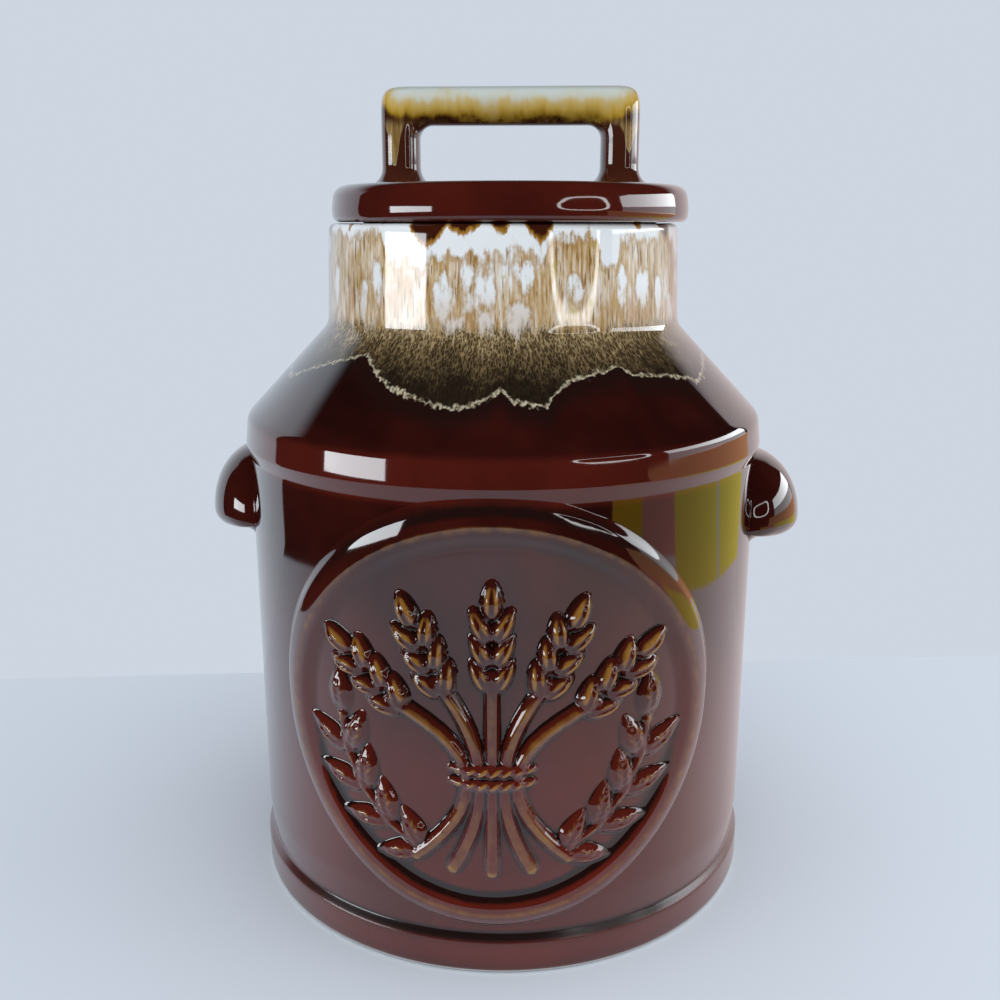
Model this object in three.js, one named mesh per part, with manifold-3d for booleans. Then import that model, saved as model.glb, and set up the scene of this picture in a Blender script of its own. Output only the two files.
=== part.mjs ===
// A stoneware cookie jar in the shape of a milk churn: a jar with a bead, a conical shoulder and
// a short neck, a round relief on its front, a hood-shaped lug on each side, and a loose lid with
// a bridge handle. Millimetres, +Z up. The origin is the middle of the foot, the relief faces -Y.

import * as THREE from 'three';
import { mergeVertices } from 'three/addons/utils/BufferGeometryUtils.js';
import Module from 'manifold-3d';

const wasm = await Module();
wasm.setup();

// Jar, from the foot up
const BODY_RADIUS = 82.2;
const BODY_TOP = 142;
const FOOT_OVERHANG = 0.9;
const FOOT_BAND = 10.4;
const FOOT_EDGE = 4;
const FOOT_RING_WIDTH = 12;
const FOOT_RECESS = 2.5;
const GROOVE_DEPTH = 0.8;
const GROOVE_RISE = 2.4;
const GROOVE_RUNOUT = 10;
const BEAD_OVERHANG = 1.2;
const BEAD_STEP = 4;
const BEAD_HEIGHT = 8.3;
const BEAD_TAPER = 0.9;
const SHOULDER_RISE = 28;
const NECK_RADIUS = 56;
const NECK_HEIGHT = 30.7;
const NECK_TAPER = 1.2;
const WALL = 6.5;
const FLOOR = 7;
const GROOVE_FILLET = 1.6;
const BEAD_FILLET = 2.2;
const SHOULDER_FILLET = 3.6;
const NECK_FILLET = 6;
const RIM_FILLET = 2;
const FLOOR_FILLET = 10;
const INNER_FILLET = 12;

// Lid, resting on the rim and pushed to one side of its play in the neck
const SEAT_GAP = 0.3;
const LID_OVERHANG = 1.1;
const LID_THICKNESS = 11.1;
const LID_TOP_FILLET = 4.5;
const LID_BOTTOM_FILLET = 3.4;
const LID_CROWN = 0.3;
const LID_FLAT_RADIUS = 45;
const LID_WEB = 6.5;
const LID_SHIFT = 2.2;
const FLANGE_PLAY = 2.6;
const FLANGE_DEPTH = 11;
const FLANGE_WALL = 6;
const FLANGE_FILLET = 1.5;

// Bridge handle on the lid
const HANDLE_HEIGHT = 29.6;
const HANDLE_LENGTH = 80.2;
const HANDLE_LEG = 12;
const HANDLE_BAR = 11.7;
const HANDLE_DEPTH = 15;
const HANDLE_INNER_CORNER = 4;
const HANDLE_CORNER_SQUARENESS = 7;
const HANDLE_SECTION_SQUARENESS = 2.25;
const HANDLE_FLARE = 5.5;

// Lugs under the bead, the left one a little higher than the right one
const LUG_REACH = 15.5;
const LUG_DROP = 30.6;
const LUG_HEIGHT = 26;
const LUG_EDGE = 4.6;
const LUG_SIDE_EDGE = 12;
const LUG_HALF_WIDTH = 25;
const LUG_TOP_HALF_WIDTH = 4;
const LUG_SQUARENESS = 2.1;
const LUG_OFFSET = 0.65;
const PAD_RAISE = 1.6;
const PAD_HALF_WIDTH = 38;
const PAD_TOP_HALF_WIDTH = 28;
const PAD_CORNER = 8;
const PAD_SQUARENESS = 8;

// Round relief, drawn flat as seen from the front: across, up, and out from the wall
const RELIEF_HEIGHT = 76.5;
const RELIEF_ASPECT = 0.97;
const RELIEF_FIELD = 1.1;
const RING_RADIUS = 59.4;
const RING_WIDTH = 5;
const RING_RAISE = 2.6;
const RELIEF_ROOT = 3;

// Sheaf in the relief: stems gathered by a tie, with an ear on each stem
const STEM_COUNT = 5;
const STEM_RADIUS = 2.4;
const STEM_FAN = 92;
const STEM_FOOT_FAN = 58;
const STEM_LENGTH = 30;
const STEM_FOOT_LENGTH = 30;
const STEM_CROWDING = 3.4;
const TIE_DROP = 14;
const TIE_WIDTH = 5.2;
const TIE_RAISE = 4.2;
const TIE_SPACING = 4;
const TIE_OVERHANG = 6;
const EAR_PAIRS = 3;
const EAR_PITCH = 7;
const GRAIN_LENGTH = 11.6;
const GRAIN_WIDTH = 6;
const GRAIN_RAISE = 4.1;
const GRAIN_TILT = 27;
const GRAIN_SPREAD = 3;

// Leaf sprig on each side of the sheaf, along an arc inside the ring
const LEAF_COUNT = 4;
const LEAF_LENGTH = 15;
const LEAF_WIDTH = 7.4;
const LEAF_RAISE = 3.3;
const LEAF_SPREAD = 36;
const SPRIG_RADIUS = 43.5;
const SPRIG_START = 244;
const SPRIG_SWEEP = 62;
const SPRIG_STEM = 1.5;

// Facets
const ROUND_STEPS = 60;
const RING_STEPS = 44;
const FILLET_STEPS = 2;
const WIDE_FILLET_STEPS = 3;
const HANDLE_SIDES = 14;
const HANDLE_CORNER_STEPS = 6;
const HANDLE_FLARE_STEPS = 3;
const LUG_STEPS = 7;
const LUG_SIDES = 12;
const STEM_SIDES = 6;
const STEM_STEPS = 6;
const GRAIN_SIDES = 6;
const GRAIN_STEPS = 4;
const FIELD_STEPS = 4;
const CREST_STEPS = 4;
const WELD = 1e-4;

// Sizes that follow
const FOOT_RADIUS = BODY_RADIUS + FOOT_OVERHANG;
const GROOVE_RADIUS = BODY_RADIUS - GROOVE_DEPTH;
const GROOVE_HEIGHT = FOOT_BAND + GROOVE_RISE;
const BEAD_RADIUS = BODY_RADIUS + BEAD_OVERHANG;
const BEAD_TOP_RADIUS = BEAD_RADIUS - BEAD_TAPER;
const BEAD_BOTTOM = BODY_TOP + BEAD_STEP;
const BEAD_TOP = BEAD_BOTTOM + BEAD_HEIGHT;
const SHOULDER_TOP = BEAD_TOP + SHOULDER_RISE;
const RIM_RADIUS = NECK_RADIUS - NECK_TAPER;
const RIM_HEIGHT = SHOULDER_TOP + NECK_HEIGHT;
const INNER_RADIUS = BODY_RADIUS - WALL;
const MOUTH_RADIUS = RIM_RADIUS - WALL;
const FLOOR_HEIGHT = FOOT_RECESS + FLOOR;
const SHOULDER_SLOPE = SHOULDER_RISE / (BEAD_TOP_RADIUS - NECK_RADIUS);
const WALL_DROP = WALL * (Math.hypot(1, SHOULDER_SLOPE) - SHOULDER_SLOPE);
const LID_BOTTOM = RIM_HEIGHT + SEAT_GAP;
const LID_TOP = LID_BOTTOM + LID_THICKNESS;
const LID_RADIUS = RIM_RADIUS + LID_OVERHANG;
const FLANGE_RADIUS = MOUTH_RADIUS - FLANGE_PLAY;
const RECESS_RADIUS = FLANGE_RADIUS - FLANGE_WALL;
const LUG_BOTTOM = BEAD_BOTTOM - LUG_DROP;
const PAD_HEIGHT = LUG_DROP - LUG_OFFSET;
const TIE_HEIGHT = RELIEF_HEIGHT - TIE_DROP;
const HALF_TURN = 180;
const TURN = Math.PI / HALF_TURN;

// A profile from corners [radius, height, fillet, steps], with an arc at each corner that has a fillet
function roundedProfile(corners) {
  const points = [];
  corners.forEach(([x, y, fillet, steps], index) => {
    const corner = new THREE.Vector2(x, y);
    if (!fillet) {
      points.push(corner);
      return;
    }
    const back = new THREE.Vector2(...corners[index - 1].slice(0, 2)).sub(corner);
    const ahead = new THREE.Vector2(...corners[index + 1].slice(0, 2)).sub(corner);
    const half = Math.acos(back.clone().normalize().dot(ahead.clone().normalize())) / 2;
    const room = Math.min(back.length(), ahead.length()) / 2;
    const setback = Math.min(fillet / Math.tan(half), room);
    const radius = setback * Math.tan(half);
    const toCentre = back.clone().normalize().add(ahead.clone().normalize()).normalize();
    const centre = corner.clone().addScaledVector(toCentre, radius / Math.sin(half));
    const from = corner.clone().addScaledVector(back.normalize(), setback).sub(centre);
    const to = corner.clone().addScaledVector(ahead.normalize(), setback).sub(centre);
    const sweep = Math.atan2(from.cross(to), from.dot(to));
    for (let step = 0; step <= steps; step += 1) {
      const arm = from.clone().rotateAround(new THREE.Vector2(), (sweep * step) / steps);
      points.push(centre.clone().add(arm));
    }
  });
  return points;
}

// A mesh with its shared vertices merged and its collapsed triangles dropped
function welded(geometry) {
  const bare = geometry.clone();
  bare.deleteAttribute('normal');
  bare.deleteAttribute('uv');
  const merged = mergeVertices(bare, WELD);
  const kept = [];
  const index = merged.index.array;
  for (let i = 0; i < index.length; i += 3) {
    const [a, b, c] = index.slice(i, i + 3);
    if (a !== b && b !== c && c !== a) kept.push(a, b, c);
  }
  merged.setIndex(kept);
  return merged;
}

function toSolid(geometry) {
  const mesh = welded(geometry);
  return new wasm.Manifold(new wasm.Mesh({
    numProp: 3,
    vertProperties: new Float32Array(mesh.attributes.position.array),
    triVerts: new Uint32Array(mesh.index.array),
  }));
}

function fromSolid(solid) {
  const { vertProperties, triVerts } = solid.getMesh();
  const geometry = new THREE.BufferGeometry();
  geometry.setAttribute('position', new THREE.BufferAttribute(vertProperties, 3));
  geometry.setIndex(new THREE.BufferAttribute(triVerts, 1));
  return geometry;
}

// A profile of radius and height, turned about Z
function turned(profile, steps) {
  return welded(new THREE.LatheGeometry(profile, steps).rotateX(Math.PI / 2));
}

// Closed rings with as many points each, joined in order, with both ends capped
function loft(rings) {
  const sides = rings[0].length;
  const middle = (ring) => ring.reduce((sum, p) => sum.add(p), new THREE.Vector3()).divideScalar(sides);
  const points = [...rings.flat(), middle(rings[0]), middle(rings.at(-1))];
  const start = points.length - 2;
  const end = points.length - 1;
  const last = (rings.length - 1) * sides;
  const index = [];
  for (let side = 0; side < sides; side += 1) {
    const next = (side + 1) % sides;
    for (let base = 0; base < last; base += sides) {
      index.push(base + side, base + next, base + sides + next);
      index.push(base + side, base + sides + next, base + sides + side);
    }
    index.push(start, next, side, end, last + side, last + next);
  }
  const geometry = new THREE.BufferGeometry().setFromPoints(points);
  geometry.setIndex(index);
  return geometry;
}

const power = (value, exponent) => Math.sign(value) * Math.abs(value) ** exponent;

// How far a fillet of this radius stands out from its wall, at a height above where it starts
function flare(radius, height) {
  const rest = Math.max(radius - height, 0);
  return radius - Math.sqrt(radius ** 2 - rest ** 2);
}

// Jar
const outsideCorners = [
  [FOOT_RADIUS, 0, FOOT_EDGE, WIDE_FILLET_STEPS],
  [FOOT_RADIUS, FOOT_BAND, GROOVE_FILLET, FILLET_STEPS],
  [GROOVE_RADIUS, GROOVE_HEIGHT, GROOVE_FILLET, FILLET_STEPS],
  [BODY_RADIUS, GROOVE_HEIGHT + GROOVE_RUNOUT],
  [BODY_RADIUS, BODY_TOP, BEAD_FILLET, FILLET_STEPS],
  [BEAD_RADIUS, BEAD_BOTTOM, BEAD_FILLET, FILLET_STEPS],
  [BEAD_TOP_RADIUS, BEAD_TOP, SHOULDER_FILLET, WIDE_FILLET_STEPS],
  [NECK_RADIUS, SHOULDER_TOP, NECK_FILLET, WIDE_FILLET_STEPS],
  [RIM_RADIUS, RIM_HEIGHT, RIM_FILLET, FILLET_STEPS],
];

const jarProfile = roundedProfile([
  [0, FOOT_RECESS],
  [FOOT_RADIUS - FOOT_RING_WIDTH, FOOT_RECESS],
  [FOOT_RADIUS - FOOT_RING_WIDTH, 0],
  ...outsideCorners,
  [MOUTH_RADIUS, RIM_HEIGHT, RIM_FILLET, FILLET_STEPS],
  [MOUTH_RADIUS, SHOULDER_TOP - WALL_DROP, NECK_FILLET, FILLET_STEPS],
  [INNER_RADIUS, BEAD_TOP - WALL_DROP, INNER_FILLET, FILLET_STEPS],
  [INNER_RADIUS, FLOOR_HEIGHT, FLOOR_FILLET, WIDE_FILLET_STEPS],
  [0, FLOOR_HEIGHT],
]);

// What stands on the jar's outside is cut back from it by the seat gap
const standoffCorners = outsideCorners.map(([r, z, ...fillet]) => [r + SEAT_GAP, z, ...fillet]);
const jarStandoff = toSolid(turned(roundedProfile([
  [0, 0],
  ...standoffCorners,
  [0, RIM_HEIGHT],
]), ROUND_STEPS));

// Lid, about its own axis
const lidProfile = roundedProfile([
  [0, LID_TOP - LID_WEB],
  [RECESS_RADIUS, LID_TOP - LID_WEB, FLANGE_FILLET, FILLET_STEPS],
  [RECESS_RADIUS, LID_BOTTOM - FLANGE_DEPTH, FLANGE_FILLET, FILLET_STEPS],
  [FLANGE_RADIUS, LID_BOTTOM - FLANGE_DEPTH, FLANGE_FILLET, FILLET_STEPS],
  [FLANGE_RADIUS, LID_BOTTOM],
  [LID_RADIUS, LID_BOTTOM, LID_BOTTOM_FILLET, WIDE_FILLET_STEPS],
  [LID_RADIUS, LID_TOP - LID_CROWN, LID_TOP_FILLET, WIDE_FILLET_STEPS],
  [LID_FLAT_RADIUS, LID_TOP],
  [0, LID_TOP],
]);

// Handle: rings round a bent bar, each between a point on its inside and one on its outside
function handleRing(inner, outer, depth) {
  const middle = inner.clone().add(outer).divideScalar(2);
  const reach = inner.clone().sub(middle);
  return Array.from({ length: HANDLE_SIDES }, (_, side) => {
    const angle = (2 * Math.PI * side) / HANDLE_SIDES;
    const across = reach.clone().multiplyScalar(power(Math.cos(angle), 2 / HANDLE_SECTION_SQUARENESS));
    const out = (depth / 2) * power(Math.sin(angle), 2 / HANDLE_SECTION_SQUARENESS);
    return middle.clone().add(across).add(new THREE.Vector3(0, out, 0));
  });
}

function handleSide(sign) {
  const legOut = HANDLE_LENGTH / 2;
  const legIn = legOut - HANDLE_LEG;
  const pivotX = legIn - HANDLE_INNER_CORNER;
  const pivotZ = LID_TOP + HANDLE_HEIGHT - HANDLE_BAR - HANDLE_INNER_CORNER;
  const at = (x, z) => new THREE.Vector3(sign * x, 0, z);
  const rings = [];
  for (let step = 0; step <= HANDLE_FLARE_STEPS; step += 1) {
    const rise = HANDLE_FLARE * (step / HANDLE_FLARE_STEPS) ** 2;
    const out = flare(HANDLE_FLARE, rise);
    const z = LID_TOP + rise;
    rings.push(handleRing(at(legIn - out, z), at(legOut + out, z), HANDLE_DEPTH + 2 * out));
  }
  for (let step = 0; step <= HANDLE_CORNER_STEPS; step += 1) {
    const angle = (Math.PI / 2) * (step / HANDLE_CORNER_STEPS);
    const x = Math.cos(angle);
    const z = Math.sin(angle);
    const share = (x / (HANDLE_INNER_CORNER + HANDLE_LEG)) ** HANDLE_CORNER_SQUARENESS
      + (z / (HANDLE_INNER_CORNER + HANDLE_BAR)) ** HANDLE_CORNER_SQUARENESS;
    const reach = share ** (-1 / HANDLE_CORNER_SQUARENESS);
    const inner = at(pivotX + x * HANDLE_INNER_CORNER, pivotZ + z * HANDLE_INNER_CORNER);
    rings.push(handleRing(inner, at(pivotX + x * reach, pivotZ + z * reach), HANDLE_DEPTH));
  }
  return rings;
}

// Lug: level sections of a hood on a raised pad, then cut to the jar's outside
function lugSection(z, reach, halfWidth, squareness) {
  const wall = Math.sqrt(INNER_RADIUS ** 2 - halfWidth ** 2);
  const ring = [new THREE.Vector3(wall, halfWidth, z), new THREE.Vector3(wall, -halfWidth, z)];
  for (let side = 0; side <= LUG_SIDES; side += 1) {
    const angle = Math.PI * (side / LUG_SIDES - 1 / 2);
    const y = halfWidth * power(Math.sin(angle), 2 / squareness);
    const out = reach * power(Math.cos(angle), 2 / squareness);
    ring.push(new THREE.Vector3(Math.sqrt(BODY_RADIUS ** 2 - y ** 2) + out, y, z));
  }
  return ring;
}

function lugHood() {
  const rings = [];
  for (let step = 0; step <= WIDE_FILLET_STEPS; step += 1) {
    const share = (step / WIDE_FILLET_STEPS) ** 2;
    const inset = flare(1, share);
    const reach = LUG_REACH - LUG_EDGE * inset;
    const width = LUG_HALF_WIDTH - LUG_SIDE_EDGE * inset;
    rings.push(lugSection(LUG_BOTTOM + LUG_EDGE * share, reach, width, LUG_SQUARENESS));
  }
  for (let step = 1; step <= LUG_STEPS; step += 1) {
    const angle = (Math.PI / 2) * (step / LUG_STEPS);
    const z = LUG_BOTTOM + LUG_EDGE + (LUG_HEIGHT - LUG_EDGE) * Math.sin(angle);
    const width = THREE.MathUtils.lerp(LUG_TOP_HALF_WIDTH, LUG_HALF_WIDTH, Math.cos(angle));
    rings.push(lugSection(z, LUG_REACH * Math.cos(angle), width, LUG_SQUARENESS));
  }
  return loft(rings);
}

// The pad keeps one thickness over the wall and narrows upwards
function lugPad() {
  const widthAt = (rise) => {
    const taper = THREE.MathUtils.lerp(PAD_HALF_WIDTH, PAD_TOP_HALF_WIDTH, rise / PAD_HEIGHT);
    return taper - flare(PAD_CORNER, rise);
  };
  const rises = Array.from({ length: WIDE_FILLET_STEPS + 1 }, (_, step) => {
    return PAD_CORNER * (step / WIDE_FILLET_STEPS) ** 2;
  });
  return loft([...rises, PAD_HEIGHT].map((rise) => {
    return lugSection(LUG_BOTTOM + rise, PAD_RAISE, widthAt(rise), PAD_SQUARENESS);
  }));
}

function lugSolid(lift) {
  return toSolid(lugHood()).add(toSolid(lugPad())).translate(0, 0, lift).subtract(jarStandoff);
}

// Relief: each form is drawn flat, narrowed a little and bent round the wall
function wrapped(geometry) {
  const bent = geometry.clone();
  const place = bent.attributes.position;
  for (let i = 0; i < place.count; i += 1) {
    const turn = Math.asin((place.getX(i) * RELIEF_ASPECT) / BODY_RADIUS);
    const radius = BODY_RADIUS + place.getZ(i);
    place.setXYZ(i, radius * Math.sin(turn), -radius * Math.cos(turn), place.getY(i));
  }
  return bent;
}

function reliefRing() {
  const inside = RING_RADIUS - RING_WIDTH / 2;
  const crest = Array.from({ length: CREST_STEPS + 1 }, (_, step) => {
    const angle = Math.PI * (step / CREST_STEPS);
    const lift = (RING_RAISE - RELIEF_FIELD) * Math.sin(angle);
    return new THREE.Vector2(RING_RADIUS + (RING_WIDTH / 2) * Math.cos(angle), RELIEF_FIELD + lift);
  });
  const field = Array.from({ length: FIELD_STEPS }, (_, step) => {
    return new THREE.Vector2(inside * (1 - (step + 1) / FIELD_STEPS), RELIEF_FIELD);
  });
  const back = Array.from({ length: FIELD_STEPS + 1 }, (_, step) => {
    return new THREE.Vector2((RING_RADIUS + RING_WIDTH / 2) * (step / FIELD_STEPS), -RELIEF_ROOT);
  });
  const disc = new THREE.LatheGeometry([...back, ...crest, ...field], RING_STEPS);
  return disc.rotateX(Math.PI / 2).translate(0, RELIEF_HEIGHT, 0);
}

// An egg shape lying on the field, its long side turned from upright
function grain(x, y, turn, length, width, raise) {
  const egg = new THREE.SphereGeometry(1, GRAIN_SIDES, GRAIN_STEPS);
  egg.scale(width / 2, length / 2, raise);
  return egg.rotateZ(-turn * TURN).translate(x, y, 0);
}

function tube(points, radius) {
  const section = new THREE.Shape().absarc(0, 0, radius, 0, 2 * Math.PI);
  return new THREE.ExtrudeGeometry(section, {
    curveSegments: STEM_SIDES / 2,
    steps: STEM_STEPS,
    extrudePath: new THREE.CatmullRomCurve3(points),
  });
}

const earGrain = (x, y, turn) => grain(x, y, turn, GRAIN_LENGTH, GRAIN_WIDTH, GRAIN_RAISE);

function sheaf() {
  const forms = [];
  for (let stem = 0; stem < STEM_COUNT; stem += 1) {
    const share = stem / (STEM_COUNT - 1) - 1 / 2;
    const lean = share * STEM_FAN;
    const footLean = share * STEM_FOOT_FAN;
    const waist = share * (STEM_COUNT - 1) * STEM_CROWDING;
    const along = (distance) => [
      waist + distance * Math.sin(lean * TURN),
      TIE_HEIGHT + distance * Math.cos(lean * TURN),
    ];
    const foot = new THREE.Vector3(
      waist + STEM_FOOT_LENGTH * Math.sin(footLean * TURN),
      TIE_HEIGHT - STEM_FOOT_LENGTH * Math.cos(footLean * TURN),
      RELIEF_FIELD,
    );
    const middle = new THREE.Vector3(waist, TIE_HEIGHT, RELIEF_FIELD);
    const top = new THREE.Vector3(...along(STEM_LENGTH), RELIEF_FIELD);
    forms.push(tube([foot, middle, top], STEM_RADIUS));
    for (let pair = 0; pair < EAR_PAIRS; pair += 1) {
      const [x, y] = along(STEM_LENGTH + pair * EAR_PITCH);
      for (const side of [-1, 1]) {
        const dx = side * GRAIN_SPREAD * Math.cos(lean * TURN);
        const dy = -side * GRAIN_SPREAD * Math.sin(lean * TURN);
        forms.push(earGrain(x + dx, y + dy, lean + side * GRAIN_TILT));
      }
    }
    forms.push(earGrain(...along(STEM_LENGTH + EAR_PAIRS * EAR_PITCH), lean));
  }
  return forms;
}

function tie() {
  const length = (STEM_COUNT - 1) * STEM_CROWDING + 2 * TIE_OVERHANG;
  const rows = [-TIE_SPACING / 2, TIE_SPACING / 2];
  return rows.map((row) => grain(0, TIE_HEIGHT + row, HALF_TURN / 2, length, TIE_WIDTH, TIE_RAISE));
}

function sprig(side) {
  const at = (angle, radius) => [
    -side * radius * Math.cos(angle * TURN),
    RELIEF_HEIGHT + radius * Math.sin(angle * TURN),
  ];
  const forms = [];
  const arc = [];
  for (let step = 0; step <= LEAF_COUNT; step += 1) {
    const angle = SPRIG_START - (SPRIG_SWEEP * step) / LEAF_COUNT;
    const heading = side * (angle - HALF_TURN);
    const [x, y] = at(angle, SPRIG_RADIUS);
    arc.push(new THREE.Vector3(x, y, RELIEF_FIELD));
    for (const lean of [-LEAF_SPREAD, LEAF_SPREAD]) {
      const turn = (heading + lean) * TURN;
      const dx = (LEAF_LENGTH / 2) * Math.sin(turn);
      const dy = (LEAF_LENGTH / 2) * Math.cos(turn);
      forms.push(grain(x + dx, y + dy, heading + lean, LEAF_LENGTH, LEAF_WIDTH, LEAF_RAISE));
    }
  }
  return [tube(arc, SPRIG_STEM), ...forms];
}

function medallionSolid() {
  const forms = [reliefRing(), ...sheaf(), ...tie(), ...sprig(-1), ...sprig(1)];
  const solids = forms.map((form) => toSolid(wrapped(welded(form))));
  return solids.reduce((whole, solid) => whole.add(solid)).subtract(jarStandoff);
}

// Assembly
const glaze = (color, roughness) => new THREE.MeshStandardMaterial({ color, roughness, metalness: 0 });
const bodyGlaze = glaze(0x4a1a14, 0.1);
const reliefGlaze = glaze(0x55231a, 0.12);
const handleGlaze = glaze(0x8a6636, 0.14);

function piece(name, geometry, material) {
  const mesh = new THREE.Mesh(geometry, material);
  mesh.name = name;
  return mesh;
}

const rightLug = piece('right_lug', fromSolid(lugSolid(-LUG_OFFSET)), bodyGlaze);
const leftLug = piece('left_lug', fromSolid(lugSolid(LUG_OFFSET)), bodyGlaze);
leftLug.rotation.z = Math.PI;

const lidGroup = new THREE.Group();
lidGroup.position.x = LID_SHIFT;
lidGroup.add(
  piece('lid', turned(lidProfile, ROUND_STEPS), bodyGlaze),
  piece('lid_handle', loft([...handleSide(-1), ...handleSide(1).reverse()]), handleGlaze),
);

const jar = new THREE.Group();
jar.add(
  piece('jar_body', turned(jarProfile, ROUND_STEPS), bodyGlaze),
  piece('medallion', fromSolid(medallionSolid()), reliefGlaze),
  leftLug,
  rightLug,
  lidGroup,
);

export default jar;
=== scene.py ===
"""Looks of a glazed stoneware cookie jar in the shape of a milk churn, on a pale table.

Sizes of the object are in millimetres, and of the stage in metres. The jar stands on Z = 0 with
its axis on Z, and its relief faces -Y. Angles round the jar are in degrees from -Y towards +X.
"""
import math

import bpy
import numpy as np
from mathutils import Matrix, Vector


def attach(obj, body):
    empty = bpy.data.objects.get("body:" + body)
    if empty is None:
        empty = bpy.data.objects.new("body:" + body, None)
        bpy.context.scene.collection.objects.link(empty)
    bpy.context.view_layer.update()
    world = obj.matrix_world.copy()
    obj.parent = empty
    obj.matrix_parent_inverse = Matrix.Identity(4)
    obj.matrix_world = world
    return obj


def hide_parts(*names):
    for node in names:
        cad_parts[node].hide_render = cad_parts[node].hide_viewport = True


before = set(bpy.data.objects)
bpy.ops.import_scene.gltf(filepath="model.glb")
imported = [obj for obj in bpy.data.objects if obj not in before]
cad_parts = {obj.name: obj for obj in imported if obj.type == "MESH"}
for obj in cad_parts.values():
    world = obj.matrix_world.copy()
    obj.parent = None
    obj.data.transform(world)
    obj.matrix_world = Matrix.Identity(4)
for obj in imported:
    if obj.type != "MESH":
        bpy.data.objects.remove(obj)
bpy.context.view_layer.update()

MM = 0.001

# Camera
CAMERA_DISTANCE = 0.35305
CAMERA_HEIGHT = 0.21307
CAMERA_AZIMUTH = 2.0
CAMERA_PITCH = 14.45
CAMERA_YAW = 0.153
CAMERA_LENS = 38.7
CAMERA_SENSOR = 36.0

# Jar, from the foot up
FOOT_RADIUS = 83.1
FOOT_BAND = 10.4
FOOT_EDGE = 2.2
FOOT_RING_WIDTH = 12.0
FOOT_RECESS = 2.5
FOOT_INNER_FILLET = 1.0
GROOVE_RADIUS = 81.4
GROOVE_RISE = 2.4
GROOVE_RUNOUT = 10.0
BODY_RADIUS = 82.2
BODY_TOP = 142.0
BEAD_RADIUS = 83.4
BEAD_TOP_RADIUS = 82.5
BEAD_BOTTOM = 146.0
BEAD_TOP = 154.3
NECK_RADIUS = 56.0
SHOULDER_TOP = 182.3
RIM_RADIUS = 54.8
RIM_HEIGHT = 213.0
WALL = 6.5
FLOOR = 7.0
GROOVE_FILLET = 1.6
BEAD_FILLET = 2.2
SHOULDER_FILLET = 5.0
NECK_FILLET = 6.0
RIM_FILLET = 2.0
FLOOR_FILLET = 10.0
INNER_FILLET = 12.0
INNER_RADIUS = BODY_RADIUS - WALL
MOUTH_RADIUS = RIM_RADIUS - WALL
SHOULDER_SLOPE = (SHOULDER_TOP - BEAD_TOP) / (BEAD_TOP_RADIUS - NECK_RADIUS)
WALL_DROP = WALL * (math.hypot(1, SHOULDER_SLOPE) - SHOULDER_SLOPE)

# Lid
LID_BOTTOM = 213.3
LID_THICKNESS = 11.1
LID_TOP = LID_BOTTOM + LID_THICKNESS
LID_RADIUS = 55.9
LID_TOP_FILLET = 4.5
LID_BOTTOM_FILLET = 3.4
LID_CROWN = 0.3
LID_WIDEST = 3.8
LID_TOP_INSET = 0.9
LID_BOTTOM_INSET = 0.4
LID_FLAT_RADIUS = 45.0
LID_SIDE_FILLET = 12.0
LID_CROWN_FILLET = 8.0
LID_WEB = 6.5
LID_SHIFT = 2.2
FLANGE_PLAY = 2.6
FLANGE_RADIUS = MOUTH_RADIUS - FLANGE_PLAY
FLANGE_DEPTH = 11.0
FLANGE_WALL = 6.0
FLANGE_FILLET = 1.5
FLANGE_ROOT_FILLET = 1.0

# Bridge handle
HANDLE_HEIGHT = 29.6
HANDLE_LENGTH = 80.2
HANDLE_LEG = 12.0
HANDLE_BAR = 11.7
HANDLE_DEPTH = 15.0
HANDLE_INNER_CORNER = 4.0
HANDLE_CORNER_SQUARENESS = 7.0
HANDLE_SECTION_SQUARENESS = 2.25
HANDLE_FLARE = 5.5
HANDLE_SUNK = 0.4
BAR_BOTTOM = LID_TOP + HANDLE_HEIGHT - HANDLE_BAR

# Lugs
LUG_REACH = 15.5
RIGHT_LUG_REACH = 16.6
LUG_SINK = 0.3
LUG_BOTTOM = 115.4
LUG_TOP = 141.4
LUG_EDGE = 4.6
LUG_SAG = 3.6
LUG_OFFSET = 0.65
LUG_HALF_WIDTH = 25.0
LUG_TOP_HALF_WIDTH = 4.0
LUG_SQUARENESS = 2.1
LUG_UNDER_FILLET = 4.0
LUG_BLEND = 5.0
LUG_MARGIN = 0.5
LUG_FILLET_LIMIT = 0.45
LUG_ROOT_BELOW = (3.0, 1.0)
LUG_ROOT_ABOVE = (1.5, BEAD_BOTTOM + 0.5 + LUG_OFFSET - LUG_TOP)
LUG_BACK = 2.0

# Round relief
RELIEF_HEIGHT = 78.3
RELIEF_ASPECT = 0.995
RELIEF_FIELD = 0.4
RELIEF_SINK = 0.3
RELIEF_BACK = -1.2
FIELD_RUNOUT = 3.0
FORM_RUNOUT = 2.5
FORM_BLEND = 0.7
RING_RADIUS = 58.3
RING_INNER = 6.4
RING_OUTER = 10.0
RING_OUTER_BELOW = 5.5
RING_RAISE = 2.3
RING_LEAN = 0.84
RING_BOW = 1.4
RING_EDGE = 0.5
RELIEF_BORDER = RING_RADIUS + RING_OUTER
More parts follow.
